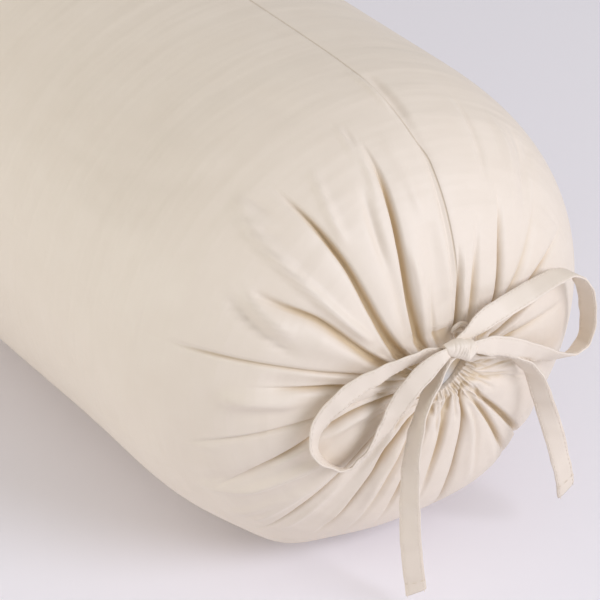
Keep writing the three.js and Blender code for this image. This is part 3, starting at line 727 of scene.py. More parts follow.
STITCH_X, STITCH_RADIUS = (float(value[0]) for value in outline_at(np.array([STITCH_ARC]))[:2])
channel, channel_angle, channel_mix = channel_points(cover_points[0], cover_points[6])
# The painted crease shade runs on into the channel, fading towards the opening.
channel_shade_depth = cover_shade_depth[0] * channel_mix ** CHANNEL_FOLD_FADE
whole_points = np.concatenate([channel, cover_points])
whole_angle = np.concatenate([channel_angle, cover_angle])
whole_shade_depth = np.concatenate([channel_shade_depth, cover_shade_depth])
row_steps = np.linalg.norm(np.diff(whole_points, axis=0), axis=-1).mean(axis=1)
whole_run = np.concatenate([[0.0], np.cumsum(row_steps)])
whole_run = whole_run - whole_run[len(CHANNEL_WALL) + 1]
wrinkled = (whole_run > whole_run[1]) & (whole_run < WRINKLE_END)
neighbours = np.roll(whole_points, -1, axis=1) - np.roll(whole_points, 1, axis=1)
turned = angle_between(np.roll(whole_angle, -1, axis=1), np.roll(whole_angle, 1, axis=1))
degree_width = np.linalg.norm(neighbours, axis=-1) / turned
relief = wrinkle_relief(
    np.broadcast_to(whole_run[wrinkled][:, None], whole_angle[wrinkled].shape),
    whole_angle[wrinkled],
    degree_width[wrinkled],
)
whole_points[wrinkled] += grid_normals(whole_points)[wrinkled] * relief[..., None]
# Painted shade deep in the wrinkles, added to the crease shade.
whole_shade_depth[wrinkled] -= WRINKLE_SHADE_SHARE * relief
whole_points[..., 2] = np.maximum(whole_points[..., 2], 0.0)

channel_arc = np.linspace(0.0, STITCH_ARC, len(channel) + 1)[:-1]
whole_arc = np.concatenate([
    np.repeat(channel_arc[:, None], channel.shape[1], axis=1), cover_arc,
])
whole_seam = np.concatenate([
    seam_distance(STITCH_ARC, channel_angle, STITCH_RADIUS),
    seam_distance(np.minimum(cover_arc, COVER_HALF_ARC), cover_angle, outline_at(cover_arc)[1])
    + SEAM_HIDE * smooth((SEAM_SHOWN - cover_arc) / SEAM_HIDE_OVER),
])


# Cloth of the cover and tape
# Ivory cotton sateen, a close and faintly glossy weave. Its threads are a fifth of a millimetre
# apart, so from a step away only a soft sheen and slight unevenness show.
SATEEN_COLOUR = (0.81, 0.72, 0.615, 1.0)
SATEEN_SHADE = (0.77, 0.675, 0.565, 1.0)
# Painted shade: a warm brown laid into the colour deep in the creases and the stitch groove and on
# the pillow's shaded side; the seam's own dark line takes the same brown. On the cover the painted
# shade goes from none at the first depth below to full at the second.
PAINTED_SHADE_AND_SEAM_COLOUR = (0.62, 0.48, 0.30, 1.0)
CREASE_SHADE_START, CREASE_SHADE_FULL = 0.0007, 0.0032
SEAM_LINE = 0.0006
SEAM_TONE = 0.42
SEAM_BUMP = 0.0003
RIPPLES_ROUND, RIPPLES_ALONG, RIPPLE_DETAIL = 9.0, 75.0, 2.0
RIPPLE_TURN = math.radians(-4)
RIPPLE_HEIGHT = 0.0013
SATEEN_ROUGHNESS = 0.5
SATEEN_SHEEN, SHEEN_ROUGHNESS = 0.15, 0.4
SHEEN_TINT = (1.0, 0.96, 0.9, 1.0)
THREADS_PER_METRE = 5000.0
WEAVE_BUMP, WEAVE_STRENGTH = 0.00003, 0.4
WARP_SCALE, WARP_DISTORTION = 0.31, 1.5
SLUB_SCALE = 60.0


def add_node(tree, kind, **values):
    """A new node in a tree, with its own settings by name."""
    node = tree.nodes.new(kind)
    for name, value in values.items():
        setattr(node, name, value)
    return node


def make_weave_group():
    """Puts out the height of a sateen weave and a slow unevenness of tone."""
    tree = bpy.data.node_groups.new("sateen_weave", "ShaderNodeTree")
    tree.interface.new_socket("Vector", in_out="INPUT", socket_type="NodeSocketVector")
    tree.interface.new_socket("Threads", in_out="INPUT", socket_type="NodeSocketFloat")
    tree.interface.new_socket("Height", in_out="OUTPUT", socket_type="NodeSocketFloat")
    tree.interface.new_socket("Tone", in_out="OUTPUT", socket_type="NodeSocketFloat")
    inputs = add_node(tree, "NodeGroupInput")
    outputs = add_node(tree, "NodeGroupOutput")
    scaled = add_node(tree, "ShaderNodeVectorMath", operation="SCALE")
    tree.links.new(inputs.outputs["Vector"], scaled.inputs[0])
    tree.links.new(inputs.outputs["Threads"], scaled.inputs["Scale"])
    warp = add_node(tree, "ShaderNodeTexWave", bands_direction="DIAGONAL")
    warp.inputs["Scale"].default_value = WARP_SCALE
    warp.inputs["Distortion"].default_value = WARP_DISTORTION
    tree.links.new(scaled.outputs[0], warp.inputs["Vector"])
    slub = add_node(tree, "ShaderNodeTexNoise")
    slub.inputs["Scale"].default_value = SLUB_SCALE
    slub.inputs["Detail"].default_value = 4.0
    tree.links.new(inputs.outputs["Vector"], slub.inputs["Vector"])
    total = add_node(tree, "ShaderNodeMath", operation="ADD")
    tree.links.new(warp.outputs["Fac"], total.inputs[0])
    tree.links.new(slub.outputs["Fac"], total.inputs[1])
    tree.links.new(total.outputs[0], outputs.inputs["Height"])
    tree.links.new(slub.outputs["Fac"], outputs.inputs["Tone"])
    return tree


weave_group = make_weave_group()


def make_sateen(name, colour, shade, roughness):
    """A material of the weave between two tones of one colour."""
    material = bpy.data.materials.new(name)
    material.use_nodes = True
    tree = material.node_tree
    surface = tree.nodes["Principled BSDF"]
    surface.inputs["Roughness"].default_value = roughness
    surface.inputs["Sheen Weight"].default_value = SATEEN_SHEEN
    surface.inputs["Sheen Roughness"].default_value = SHEEN_ROUGHNESS
    surface.inputs["Sheen Tint"].default_value = SHEEN_TINT
    place = add_node(tree, "ShaderNodeUVMap", uv_map="cloth")
    weave = add_node(tree, "ShaderNodeGroup", node_tree=weave_group)
    weave.inputs["Threads"].default_value = THREADS_PER_METRE
    tree.links.new(place.outputs["UV"], weave.inputs["Vector"])
    tone = add_node(tree, "ShaderNodeMix", data_type="RGBA")
    tone.inputs[6].default_value = shade
    tone.inputs[7].default_value = colour
    tree.links.new(weave.outputs["Tone"], tone.inputs[0])
    tree.links.new(tone.outputs[2], surface.inputs["Base Color"])
    bump = add_node(tree, "ShaderNodeBump")
    bump.inputs["Strength"].default_value = WEAVE_STRENGTH
    bump.inputs["Distance"].default_value = WEAVE_BUMP
    tree.links.new(weave.outputs["Height"], bump.inputs["Height"])
    tree.links.new(bump.outputs["Normal"], surface.inputs["Normal"])
    return material


def lay_bump(material, height, distance, inverted):
    """Lays a bump in metres over the material's own one."""
    tree = material.node_tree
    surface = tree.nodes["Principled BSDF"]
    bump = add_node(tree, "ShaderNodeBump", invert=inverted)
    bump.inputs["Strength"].default_value = 1.0
    bump.inputs["Distance"].default_value = distance
    tree.links.new(height, bump.inputs["Height"])
    tree.links.new(surface.inputs["Normal"].links[0].from_socket, bump.inputs["Normal"])
    tree.links.new(bump.outputs["Normal"], surface.inputs["Normal"])


def mix_in(material, share, colour):
    """Lays a colour over the material's own one where the share is high."""
    tree = material.node_tree
    surface = tree.nodes["Principled BSDF"]
    own = surface.inputs["Base Color"].links[0].from_socket
    laid = add_node(tree, "ShaderNodeMix", data_type="RGBA")
    laid.inputs[7].default_value = colour
    tree.links.new(share, laid.inputs[0])
    tree.links.new(own, laid.inputs[6])
    tree.links.new(laid.outputs[2], surface.inputs["Base Color"])


def add_painted_shade(material, attribute, colour):
    """Paints shade into the colour: another colour where the mesh's attribute is high, such as deep
    in a crease.
    """
    share = add_node(material.node_tree, "ShaderNodeAttribute", attribute_name=attribute)
    mix_in(material, share.outputs["Fac"], colour)


def add_seam(material):
    """The fine dark line of the cover's seam, pulled in a little."""
    tree = material.node_tree
    away = add_node(tree, "ShaderNodeAttribute", attribute_name="seam")
    positive = add_node(tree, "ShaderNodeMath", operation="ABSOLUTE")
    tree.links.new(away.outputs["Fac"], positive.inputs[0])
    line = add_node(tree, "ShaderNodeMapRange", interpolation_type="SMOOTHSTEP")
    line.inputs["From Max"].default_value = SEAM_LINE
    line.inputs["To Min"].default_value = 1.0
    line.inputs["To Max"].default_value = 0.0
    tree.links.new(positive.outputs[0], line.inputs["Value"])
    share = add_node(tree, "ShaderNodeMath", operation="MULTIPLY")
    share.inputs[1].default_value = SEAM_TONE
    tree.links.new(line.outputs["Result"], share.inputs[0])
    mix_in(material, share.outputs[0], PAINTED_SHADE_AND_SEAM_COLOUR)
    lay_bump(material, line.outputs["Result"], SEAM_BUMP, True)


def add_ripples(material):
    """Faint long ripples of the cloth round the bolster, about a tenth of a millimetre high."""
    tree = material.node_tree
    place = add_node(tree, "ShaderNodeUVMap", uv_map="cloth")
    stretched = add_node(tree, "ShaderNodeMapping")
    stretched.inputs["Rotation"].default_value = (0.0, 0.0, RIPPLE_TURN)
    stretched.inputs["Scale"].default_value = (RIPPLES_ROUND, RIPPLES_ALONG, 1.0)
    tree.links.new(place.outputs["UV"], stretched.inputs["Vector"])
    ripples = add_node(tree, "ShaderNodeTexNoise")
    ripples.inputs["Scale"].default_value = 1.0
    ripples.inputs["Detail"].default_value = RIPPLE_DETAIL
    tree.links.new(stretched.outputs["Vector"], ripples.inputs["Vector"])
    lay_bump(material, ripples.outputs["Fac"], RIPPLE_HEIGHT, False)


cover_material = make_sateen("ivory_sateen", SATEEN_COLOUR, SATEEN_SHADE, SATEEN_ROUGHNESS)
# Painted shade deep in the creases, from the mesh's crease values.
add_painted_shade(cover_material, "crease", PAINTED_SHADE_AND_SEAM_COLOUR)
add_ripples(cover_material)
add_seam(cover_material)


def add_piece(name, mesh, material):
    """A smooth-shaded object of the mesh."""
    piece = bpy.data.objects.new(name, mesh)
    scene.collection.objects.link(piece)
    mesh.materials.append(material)
    mesh.shade_smooth()
    return piece


def map_cloth(mesh, across, along):
    """The cloth's own flat place of every face corner, in metres, from per-point values."""
    corners = np.empty(len(mesh.loops), dtype=int)
    mesh.loops.foreach_get("vertex_index", corners)
    flat = np.stack([across.ravel()[corners], along.ravel()[corners]], axis=-1)
    layer = mesh.uv_layers.new(name="cloth")
    layer.data.foreach_set("uv", flat.astype(np.float32).ravel())


def fix_wrap(mesh, width):
    """Puts the corners that lie past the join of the map on the same side as their face."""
    uv = np.empty(len(mesh.loops) * 2)
    mesh.uv_layers["cloth"].data.foreach_get("uv", uv)
    uv = uv.reshape(-1, 4, 2)
    behind = uv[..., 0] < uv[..., 0].max(axis=1, keepdims=True) - width / 2
    uv[..., 0] += behind * width
    mesh.uv_layers["cloth"].data.foreach_set("uv", uv.ravel())


def set_values(mesh, name, values):
    """Stores one value for each point, for the material to read."""
    layer = mesh.attributes.new(name, "FLOAT", "POINT")
    layer.data.foreach_set("value", values.ravel().astype(np.float32))


POLE_MERGE = 0.000002


def close_poles(mesh):
    """Joins the points that fall together in the middle of each end."""
    shape = bmesh.new()
    shape.from_mesh(mesh)
    bmesh.ops.remove_doubles(shape, verts=shape.verts, dist=POLE_MERGE)
    shape.to_mesh(mesh)
    shape.free()


turn_length = 2 * math.pi * RADIUS
cover_mesh = grid_mesh("cover_cloth", whole_points)
map_cloth(cover_mesh, whole_angle % 360.0 / 360.0 * turn_length, whole_arc)
fix_wrap(cover_mesh, turn_length)
# Painted shade: its share from how deep each point lies in a crease.
painted_crease_shade = smooth((whole_shade_depth - CREASE_SHADE_START) / (CREASE_SHADE_FULL - CREASE_SHADE_START))
set_values(cover_mesh, "crease", painted_crease_shade)
set_values(cover_mesh, "seam", whole_seam)
close_poles(cover_mesh)
cover = add_piece("cover_cloth", cover_mesh, cover_material)
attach(cover, "root")
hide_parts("cover")


# Stitches of the channel
# One row of small machine stitches in a thread of the cloth's colour holds the channel's hem.
# They lie open only over the knot. Further round, the gathers close over them.
STITCH_PITCH = 0.0026
STITCH_LENGTH = 0.0019
THREAD_RADIUS = 0.00018
STITCH_WANDER = 0.15
STITCH_SEED = 3
STITCHES_ARC, STITCHES_FROM, STITCHES_TO = 0.0277, 83.0, 99.0
THREAD_COLOUR = (0.83, 0.75, 0.65, 1.0)
THREAD_ROUGHNESS, PLY_SCALE = 0.6, 1500.0
STITCH_SIDES, STITCH_RINGS = 6, 5


def make_thread():
    material = bpy.data.materials.new("ivory_thread")
    material.use_nodes = True
    tree = material.node_tree
    surface = tree.nodes["Principled BSDF"]
    surface.inputs["Roughness"].default_value = THREAD_ROUGHNESS
    place = add_node(tree, "ShaderNodeTexCoord")
    ply = add_node(tree, "ShaderNodeTexNoise")
    ply.inputs["Scale"].default_value = PLY_SCALE
    tree.links.new(place.outputs["Object"], ply.inputs["Vector"])
    tone = add_node(tree, "ShaderNodeMix", data_type="RGBA")
    tone.inputs[6].default_value = SATEEN_SHADE
    tone.inputs[7].default_value = THREAD_COLOUR
    tree.links.new(ply.outputs["Fac"], tone.inputs[0])
    tree.links.new(tone.outputs[2], surface.inputs["Base Color"])
    return material


thread_material = make_thread()


def make_stitch_tree():
    """Lays stitches along a curve, each a little longer or shorter than the next."""
    tree = bpy.data.node_groups.new("stitch_row", "GeometryNodeTree")
    tree.interface.new_socket("Line", in_out="INPUT", socket_type="NodeSocketGeometry")
    for name in ("Pitch", "Length", "Thread Radius", "Wander"):
        tree.interface.new_socket(name, in_out="INPUT", socket_type="NodeSocketFloat")
    tree.interface.new_socket("Seed", in_out="INPUT", socket_type="NodeSocketInt")
    tree.interface.new_socket("Stitches", in_out="OUTPUT", socket_type="NodeSocketGeometry")
    inputs = add_node(tree, "NodeGroupInput")
    outputs = add_node(tree, "NodeGroupOutput")
    points = add_node(tree, "GeometryNodeCurveToPoints", mode="LENGTH")
    bead = add_node(tree, "GeometryNodeMeshUVSphere")
    bead.inputs["Segments"].default_value = STITCH_SIDES
    bead.inputs["Rings"].default_value = STITCH_RINGS
    bead.inputs["Radius"].default_value = 1.0
    half = add_node(tree, "ShaderNodeMath", operation="MULTIPLY")
    half.inputs[1].default_value = 0.5
    scale = add_node(tree, "ShaderNodeCombineXYZ")
    wander = add_node(tree, "FunctionNodeRandomValue")
    longest = add_node(tree, "ShaderNodeMath", operation="ADD")
    longest.inputs[0].default_value = 1.0
    shortest = add_node(tree, "ShaderNodeMath", operation="SUBTRACT")
    shortest.inputs[0].default_value = 1.0
    length = add_node(tree, "ShaderNodeMath", operation="MULTIPLY")
    place = add_node(tree, "GeometryNodeInstanceOnPoints")
    real = add_node(tree, "GeometryNodeRealizeInstances")
    paint = add_node(tree, "GeometryNodeSetMaterial")
    paint.inputs["Material"].default_value = thread_material
    links = (
        (inputs.outputs["Line"], points.inputs["Curve"]),
        (inputs.outputs["Pitch"], points.inputs["Length"]),
        (inputs.outputs["Length"], half.inputs[0]),
        (inputs.outputs["Wander"], longest.inputs[1]),
        (inputs.outputs["Wander"], shortest.inputs[1]),
        (inputs.outputs["Seed"], wander.inputs["Seed"]),
        (shortest.outputs[0], wander.inputs[2]),
        (longest.outputs[0], wander.inputs[3]),
        (half.outputs[0], length.inputs[0]),
        (wander.outputs[1], length.inputs[1]),
        (inputs.outputs["Thread Radius"], scale.inputs["X"]),
        (inputs.outputs["Thread Radius"], scale.inputs["Y"]),
        (length.outputs[0], scale.inputs["Z"]),
        (points.outputs["Points"], place.inputs["Points"]),
        (points.outputs["Rotation"], place.inputs["Rotation"]),
        (bead.outputs["Mesh"], place.inputs["Instance"]),
        (scale.outputs["Vector"], place.inputs["Scale"]),
        (place.outputs["Instances"], real.inputs["Geometry"]),
        (real.outputs["Geometry"], paint.inputs["Geometry"]),
        (paint.outputs["Geometry"], outputs.inputs["Stitches"]),
    )
    for source, target in links:
        tree.links.new(source, target)
    return tree


stitch_tree = make_stitch_tree()


def sew(name, lines, closed):
    """A piece of stitches along lines of points, made plain mesh."""
    data = bpy.data.curves.new(name + "_line", "CURVE")
    data.dimensions = "3D"
    for line in lines:
        spline = data.splines.new("POLY")
        spline.points.add(len(line) - 1)
        flat = np.concatenate([line, np.ones((len(line), 1))], axis=1)
        spline.points.foreach_set("co", flat.ravel())
        spline.use_cyclic_u = closed
    guide = bpy.data.objects.new(name + "_line", data)
    scene.collection.objects.link(guide)
    rows = guide.modifiers.new("stitches", "NODES")
    rows.node_group = stitch_tree
    values = {
        "Pitch": STITCH_PITCH,
        "Length": STITCH_LENGTH,
        "Thread Radius": THREAD_RADIUS,
        "Wander": STITCH_WANDER,
        "Seed": STITCH_SEED,
    }
    for item in stitch_tree.interface.items_tree:
        if item.name in values:
            rows[item.identifier] = values[item.name]
    made = guide.evaluated_get(bpy.context.evaluated_depsgraph_get())
    mesh = bpy.data.meshes.new_from_object(made)
    bpy.data.objects.remove(guide)
    piece = bpy.data.objects.new(name, mesh)
    scene.collection.objects.link(piece)
    mesh.name = name
    mesh.shade_smooth()
    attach(piece, "root")
    return piece


row = int(np.argmin(np.abs(cover_arc[:, 0] - STITCHES_ARC))) + len(channel)
shown = (whole_angle[row] > STITCHES_FROM) & (whole_angle[row] < STITCHES_TO)
stitch_line = whole_points[row][shown] + np.array([THREAD_RADIUS * 0.5, 0.0, 0.0])
sew("channel_stitches", [stitch_line], False)


# Slit of the channel
# Over the knot the channel has a slit where the tape comes out. The cut edge is turned under and
# curls up in a small round lip with a second fold behind it.

# Each lip: its name, a line of angles and arcs in millimetres, its radius and its height over
# the plain cover
SLIT_LIPS = (
    ("slit_lip_outer", ((85, 23.0), (82, 25.5), (77, 27.0), (71, 26.5), (66, 24.5), (63, 22.0)),
     0.0011, 0.0012),
    ("slit_lip_inner", ((81, 21.5), (78, 23.5), (74, 24.0), (70, 22.5), (68, 20.5)),
     0.0009, 0.0006),
)
LIP_STEPS, LIP_SIDES = 40, 14
LIP_ROUNDING, LIP_ENDS = 9, 0.35
LEAST_LIFT = 0.7


def unit(vectors):
    return vectors / np.linalg.norm(vectors, axis=-1, keepdims=True)


def points_between(at, places, points):
    """Points at places along a line whose corners lie at known places."""
    return np.stack([np.interp(at, places, points[:, axis]) for axis in range(3)], axis=-1)


def round_off(values, count):
    """Means of each value and its neighbours, the near ones counting more."""
    kernel = np.hanning(count)
    return np.convolve(np.pad(values, count // 2, mode="edge"), kernel / kernel.sum(), "valid")


def surface_point(angle, arc_mm, height):
    """A point at a height over the plain cover, for placing small pieces on it."""
    arc = np.array([arc_mm / 1000.0])
    x, radius, slope_x, slope_radius = (float(value[0]) for value in outline_at(arc))
    turn = math.radians(angle)
    share = arc[0] / STITCH_ARC if arc[0] < STITCH_ARC else radius / STITCH_RADIUS
    y = STITCH_Y + STITCH_ACROSS * math.cos(turn) * share
    z = STITCH_Z + STITCH_UP * math.sin(turn) * share
    return np.array([x + height * max(slope_radius, LEAST_LIFT), y, z + AXIS_HEIGHT])


def make_lip(name, line, radius, height):
    """A closed soft roll along a line over the surface, thinner towards its ends."""
    guide = np.array([surface_point(angle, arc, height) for angle, arc in line])
    walked = np.linspace(0.0, len(guide) - 1.0, LIP_STEPS)
    path = points_between(walked, np.arange(len(guide)), guide)
    path = np.stack([round_off(values, LIP_ROUNDING) for values in path.T], axis=-1)
    run = unit(np.gradient(path, axis=0))
    side = unit(np.cross(run, np.array([1.0, 0.0, 0.0])))
    lift = np.cross(side, run)
    size = radius * np.sin(np.linspace(0.0, math.pi, LIP_STEPS)) ** LIP_ENDS
    turn = np.arange(LIP_SIDES) * 2 * math.pi / LIP_SIDES
    points = (
        path[:, None, :]
        + side[:, None, :] * (size[:, None] * np.cos(turn))[..., None]
        + lift[:, None, :] * (size[:, None] * np.sin(turn))[..., None]
    )
    mesh = grid_mesh(name, points)
    map_cloth(mesh, np.broadcast_to(turn * radius, points.shape[:2]),
              np.broadcast_to(walked[:, None] * radius, points.shape[:2]))
    close_poles(mesh)
    return mesh


hem_material = make_sateen("hem_sateen", SATEEN_COLOUR, SATEEN_SHADE, SATEEN_ROUGHNESS)
for name, line, radius, height in SLIT_LIPS:
    lip = add_piece(name, make_lip(name, line, radius, height), hem_material)
    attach(lip, "root")


# Inner pillow
# A plain white cotton case over fibre filling. Only a small round of its end shows, pushed
# against the tied opening from inside.
PILLOW_SIZE = 1.02
PILLOW_BACK, PILLOW_FACE, PILLOW_MIDDLE = 0.4400, 0.4440, 0.4454
PILLOW_ROWS, PILLOW_COLUMNS = 16, 96
PILLOW_CREASE, PILLOW_CREASES = 0.0004, 3
PILLOW_DEEPER = 0.0008
SHADE_START, SHADE_SPREAD = 0.25, 0.8
PILLOW_ROUGHNESS = 0.85
# The white case's colours are painted darker, as the shade of the recess it lies in.
PILLOW_COLOUR_WITH_RECESS_SHADE = (0.60, 0.585, 0.56, 1.0)
PILLOW_TONE_WITH_RECESS_SHADE = (0.53, 0.515, 0.49, 1.0)

pillow_angle = np.arange(PILLOW_COLUMNS) * 360.0 / PILLOW_COLUMNS
pillow_y, pillow_z = mouth_point(pillow_angle)
pillow_size = np.linspace(PILLOW_SIZE, 0.0, PILLOW_ROWS)[:, None]
dome = np.sqrt(1.0 - (pillow_size / PILLOW_SIZE) ** 2)
upwards = (pillow_y - MOUTH_Y) * math.cos(MOUTH_TURN) + (pillow_z - MOUTH_Z) * math.sin(MOUTH_TURN)
# Painted shade: darker towards the upper right, under the rim; the same share also sinks the face a
# little there.
shaded = smooth((upwards * pillow_size / MOUTH_LONG + SHADE_START) / SHADE_SPREAD)
crease = PILLOW_CREASE * np.sin(np.radians(PILLOW_CREASES * pillow_angle)) * pillow_size
pillow_points = np.stack(np.broadcast_arrays(
    PILLOW_FACE + (PILLOW_MIDDLE - PILLOW_FACE) * dome + crease - PILLOW_DEEPER * shaded,
    MOUTH_Y + (pillow_y - MOUTH_Y) * pillow_size,
    MOUTH_Z + (pillow_z - MOUTH_Z) * pillow_size + AXIS_HEIGHT,
), axis=-1)
pillow_back = pillow_points[:1].copy()
pillow_back[..., 0] = PILLOW_BACK
pillow_centre = pillow_back.copy()
pillow_centre[..., 1] = MOUTH_Y
pillow_centre[..., 2] = MOUTH_Z + AXIS_HEIGHT
pillow_points = np.concatenate([pillow_centre, pillow_back, pillow_points])[::-1]
shaded = np.concatenate([shaded[:1], shaded[:1], shaded])[::-1]
pillow_mesh = grid_mesh("pillow_case", pillow_points)
map_cloth(pillow_mesh, pillow_points[..., 1], pillow_points[..., 2])
# The pillow's crease values hold this painted shade.
set_values(pillow_mesh, "crease", shaded)
close_poles(pillow_mesh)
pillow_material = make_sateen("white_cotton", PILLOW_COLOUR_WITH_RECESS_SHADE, PILLOW_TONE_WITH_RECESS_SHADE, PILLOW_ROUGHNESS)
add_painted_shade(pillow_material, "crease", PAINTED_SHADE_AND_SEAM_COLOUR)
pillow = add_piece("pillow_case", pillow_mesh, pillow_material)
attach(pillow, "root")
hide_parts("pillow_end")


# Bow loops and tails
# The tie is one strip of the same sateen, folded to 9 mm and stitched along both edges. Its two
# loops and two free ends come out of the knot; each end is turned over and stitched across.
TAPE_WIDTH = 0.009
TAPE_THICKNESS = 0.0013
TAPE_EDGE_THICKNESS = 0.0006
TAPE_CORNER = 0.0012
TAPE_STEP = 0.0008
TAPE_SIDE_POINTS, EDGE_CROWDING = 17, 0.35
THREAD_LIFT = 0.4
EDGE_STITCH_INSET = 0.0011
EDGE_STITCH_DENT = 0.00016
EDGE_STITCH_WIDTH = 0.00035
EDGE_RIPPLE, RIPPLE_LENGTH = 0.00028, 0.017
SMALL_RIPPLE = 0.6
LEFT_RIPPLES, RIGHT_RIPPLES = (1.0, 0.53), (1.17, 0.61)
KNOT_PINCH = 0.48
PINCH_LENGTH = 0.018
HEM_LENGTH = 0.0066
HEM_SLANT = -0.45
HEM_THICKENING, HEM_STEP = 1.35, 0.0006
HEM_DENT, HEM_DENT_WIDTH = 0.35, 0.0004
HEM_STITCH_INSET = 0.0010
TAPE_ROUNDING = 11
ROUTE_PARTS = 24

# Routes: x, y and z of points on the tape's middle line in metres, and its lean there in degrees.
# A lean of 0 lies flat against the bolster's end, 90 stands on its edge.
LEFT_LOOP = (
    (0.4574, -0.0060, 0.1236, 10), (0.4566, -0.0104, 0.1244, -15), (0.4560, -0.0166, 0.1253, -28),
    (0.4555, -0.0238, 0.1248, -24), (0.4545, -0.0340, 0.1230, -15), (0.4530, -0.0453, 0.1201, 4),
    (0.4510, -0.0553, 0.1142, 9), (0.4490, -0.0618, 0.1064, 0), (0.4478, -0.0647, 0.0982, -24),
    (0.4475, -0.0631, 0.0906, -52), (0.4475, -0.0585, 0.0836, -84),
    (0.4480, -0.0528, 0.0787, -108), (0.4495, -0.0482, 0.0779, -134),
    (0.4510, -0.0435, 0.0814, -146), (0.4525, -0.0383, 0.0880, -150),
    (0.4544, -0.0343, 0.0957, -171), (0.4566, -0.0308, 0.1045, -196),
    (0.4590, -0.0261, 0.1139, -206), (0.4612, -0.0195, 0.1215, -204),
    (0.4618, -0.0128, 0.1258, -198), (0.4606, -0.0062, 0.1256, -190),
)
RIGHT_LOOP = (
    (0.4592, -0.0030, 0.1276, 175), (0.4586, 0.0010, 0.1288, 170), (0.4578, 0.0052, 0.1300, 162),
    (0.4570, 0.0125, 0.1320, 155), (0.4560, 0.0210, 0.1332, 144), (0.4530, 0.0353, 0.1332, 128),
    (0.4500, 0.0495, 0.1333, 109), (0.4470, 0.0632, 0.1316, 90), (0.4450, 0.0732, 0.1241, 75),
    (0.4430, 0.0798, 0.1107, 71), (0.4420, 0.0820, 0.0983, 80), (0.4430, 0.0794, 0.0889, 100),
    (0.4466, 0.0672, 0.0887, 125), (0.4536, 0.0498, 0.0990, 150), (0.4574, 0.0345, 0.1093, 170),
    (0.4602, 0.0212, 0.1177, 178), (0.4622, 0.0106, 0.1228, 182), (0.4622, 0.0030, 0.1250, 180),
    (0.4606, -0.0020, 0.1250, 180),
)
LEFT_TAIL = (
    (0.4598, -0.0034, 0.1240, 60), (0.4596, -0.0078, 0.1222, 86), (0.4594, -0.0109, 0.1177, 97),
    (0.4596, -0.0143, 0.1128, 104), (0.4602, -0.0184, 0.1070, 105), (0.4612, -0.0225, 0.0984, 97),
    (0.4618, -0.0256, 0.0856, 84), (0.4620, -0.0266, 0.0710, 70), (0.4620, -0.0262, 0.0557, 57),
    (0.4620, -0.0252, 0.0398, 45), (0.4620, -0.0235, 0.0258, 40), (0.4620, -0.0212, 0.0105, 43),
)
RIGHT_TAIL = (
    (0.4576, 0.0040, 0.1198, 20), (0.4568, 0.0078, 0.1150, 45), (0.4552, 0.0144, 0.1124, 60),
    (0.4541, 0.0205, 0.1104, 70), (0.4534, 0.0276, 0.1074, 73), (0.4534, 0.0355, 0.1018, 70),
    (0.4541, 0.0429, 0.0926, 62), (0.4548, 0.0483, 0.0783, 48), (0.4550, 0.0529, 0.0656, 30),
    (0.4550, 0.0573, 0.0528, 14), (0.4550, 0.0611, 0.0402, 4), (0.4550, 0.0640, 0.0298, 2),
    (0.4550, 0.0652, 0.0237, 2),
)


def smooth_route(rows):
    """A smooth line through the route's points, with the lean carried along."""
    table = np.array(rows)
    places = table[:, :3]
    places = np.vstack([2 * places[0] - places[1], places, 2 * places[-1] - places[-2]])
    part = np.linspace(0.0, 1.0, ROUTE_PARTS, endpoint=False)[:, None]
    line = []
    leans = []
    for index in range(len(table) - 1):
        p0, p1, p2, p3 = places[index:index + 4]
        d0, d1, d2 = (math.sqrt(np.linalg.norm(b - a)) for a, b in ((p0, p1), (p1, p2), (p2, p3)))
        t1 = ((p1 - p0) / d0 - (p2 - p0) / (d0 + d1) + (p2 - p1) / d1) * d1
        t2 = ((p2 - p1) / d1 - (p3 - p1) / (d1 + d2) + (p3 - p2) / d2) * d1
        square = -3 * p1 + 3 * p2 - 2 * t1 - t2
        cube = 2 * p1 - 2 * p2 + t1 + t2
        line.append(p1 + t1 * part + square * part ** 2 + cube * part ** 3)
        leans.append(table[index, 3] + (table[index + 1, 3] - table[index, 3]) * part[:, 0])
    line.append(table[-1:, :3])
    leans.append(table[-1:, 3])
    return np.concatenate(line), np.concatenate(leans)


def even_route(rows):
    """The smooth line at even steps: points, directions, widthways and outward directions."""
    line, leans = smooth_route(rows)
    run = np.concatenate([[0.0], np.cumsum(np.linalg.norm(np.diff(line, axis=0), axis=1))])
    count = round(run[-1] / TAPE_STEP) + 1
    even = np.linspace(0.0, run[-1], count)
    points = points_between(even, run, line)
    lean = round_off(np.interp(even, run, leans), TAPE_ROUNDING)
    tangent = unit(np.gradient(points, axis=0))
    across = unit(np.cross(np.array([1.0, 0.0, 0.0]), tangent))
    turned = np.radians(lean)[:, None]
    across = across * np.cos(turned) + np.cross(tangent, across) * np.sin(turned)
    return even, points, tangent, across, np.cross(tangent, across)


def half_thickness(width):
    """Half the tape's thickness at places across its width, dented at the edge stitching."""
    from_edge = TAPE_WIDTH / 2 - np.abs(width)
    rounded = smooth(from_edge / TAPE_CORNER)
    half = (TAPE_EDGE_THICKNESS + (TAPE_THICKNESS - TAPE_EDGE_THICKNESS) * rounded) / 2
    dent = bell((from_edge - EDGE_STITCH_INSET) / EDGE_STITCH_WIDTH)
    return half - EDGE_STITCH_DENT * dent


def tape_section():
    """Places across the tape, crowded at its edges: over the front and back along the rear."""
    turn = np.linspace(-math.pi / 2, math.pi / 2, TAPE_SIDE_POINTS)
    even = turn / (math.pi / 2)
    width = TAPE_WIDTH / 2 * (EDGE_CROWDING * np.sin(turn) + (1.0 - EDGE_CROWDING) * even)
    half = half_thickness(width)
    return np.concatenate([width, width[::-1]]), np.concatenate([half, -half[::-1]])


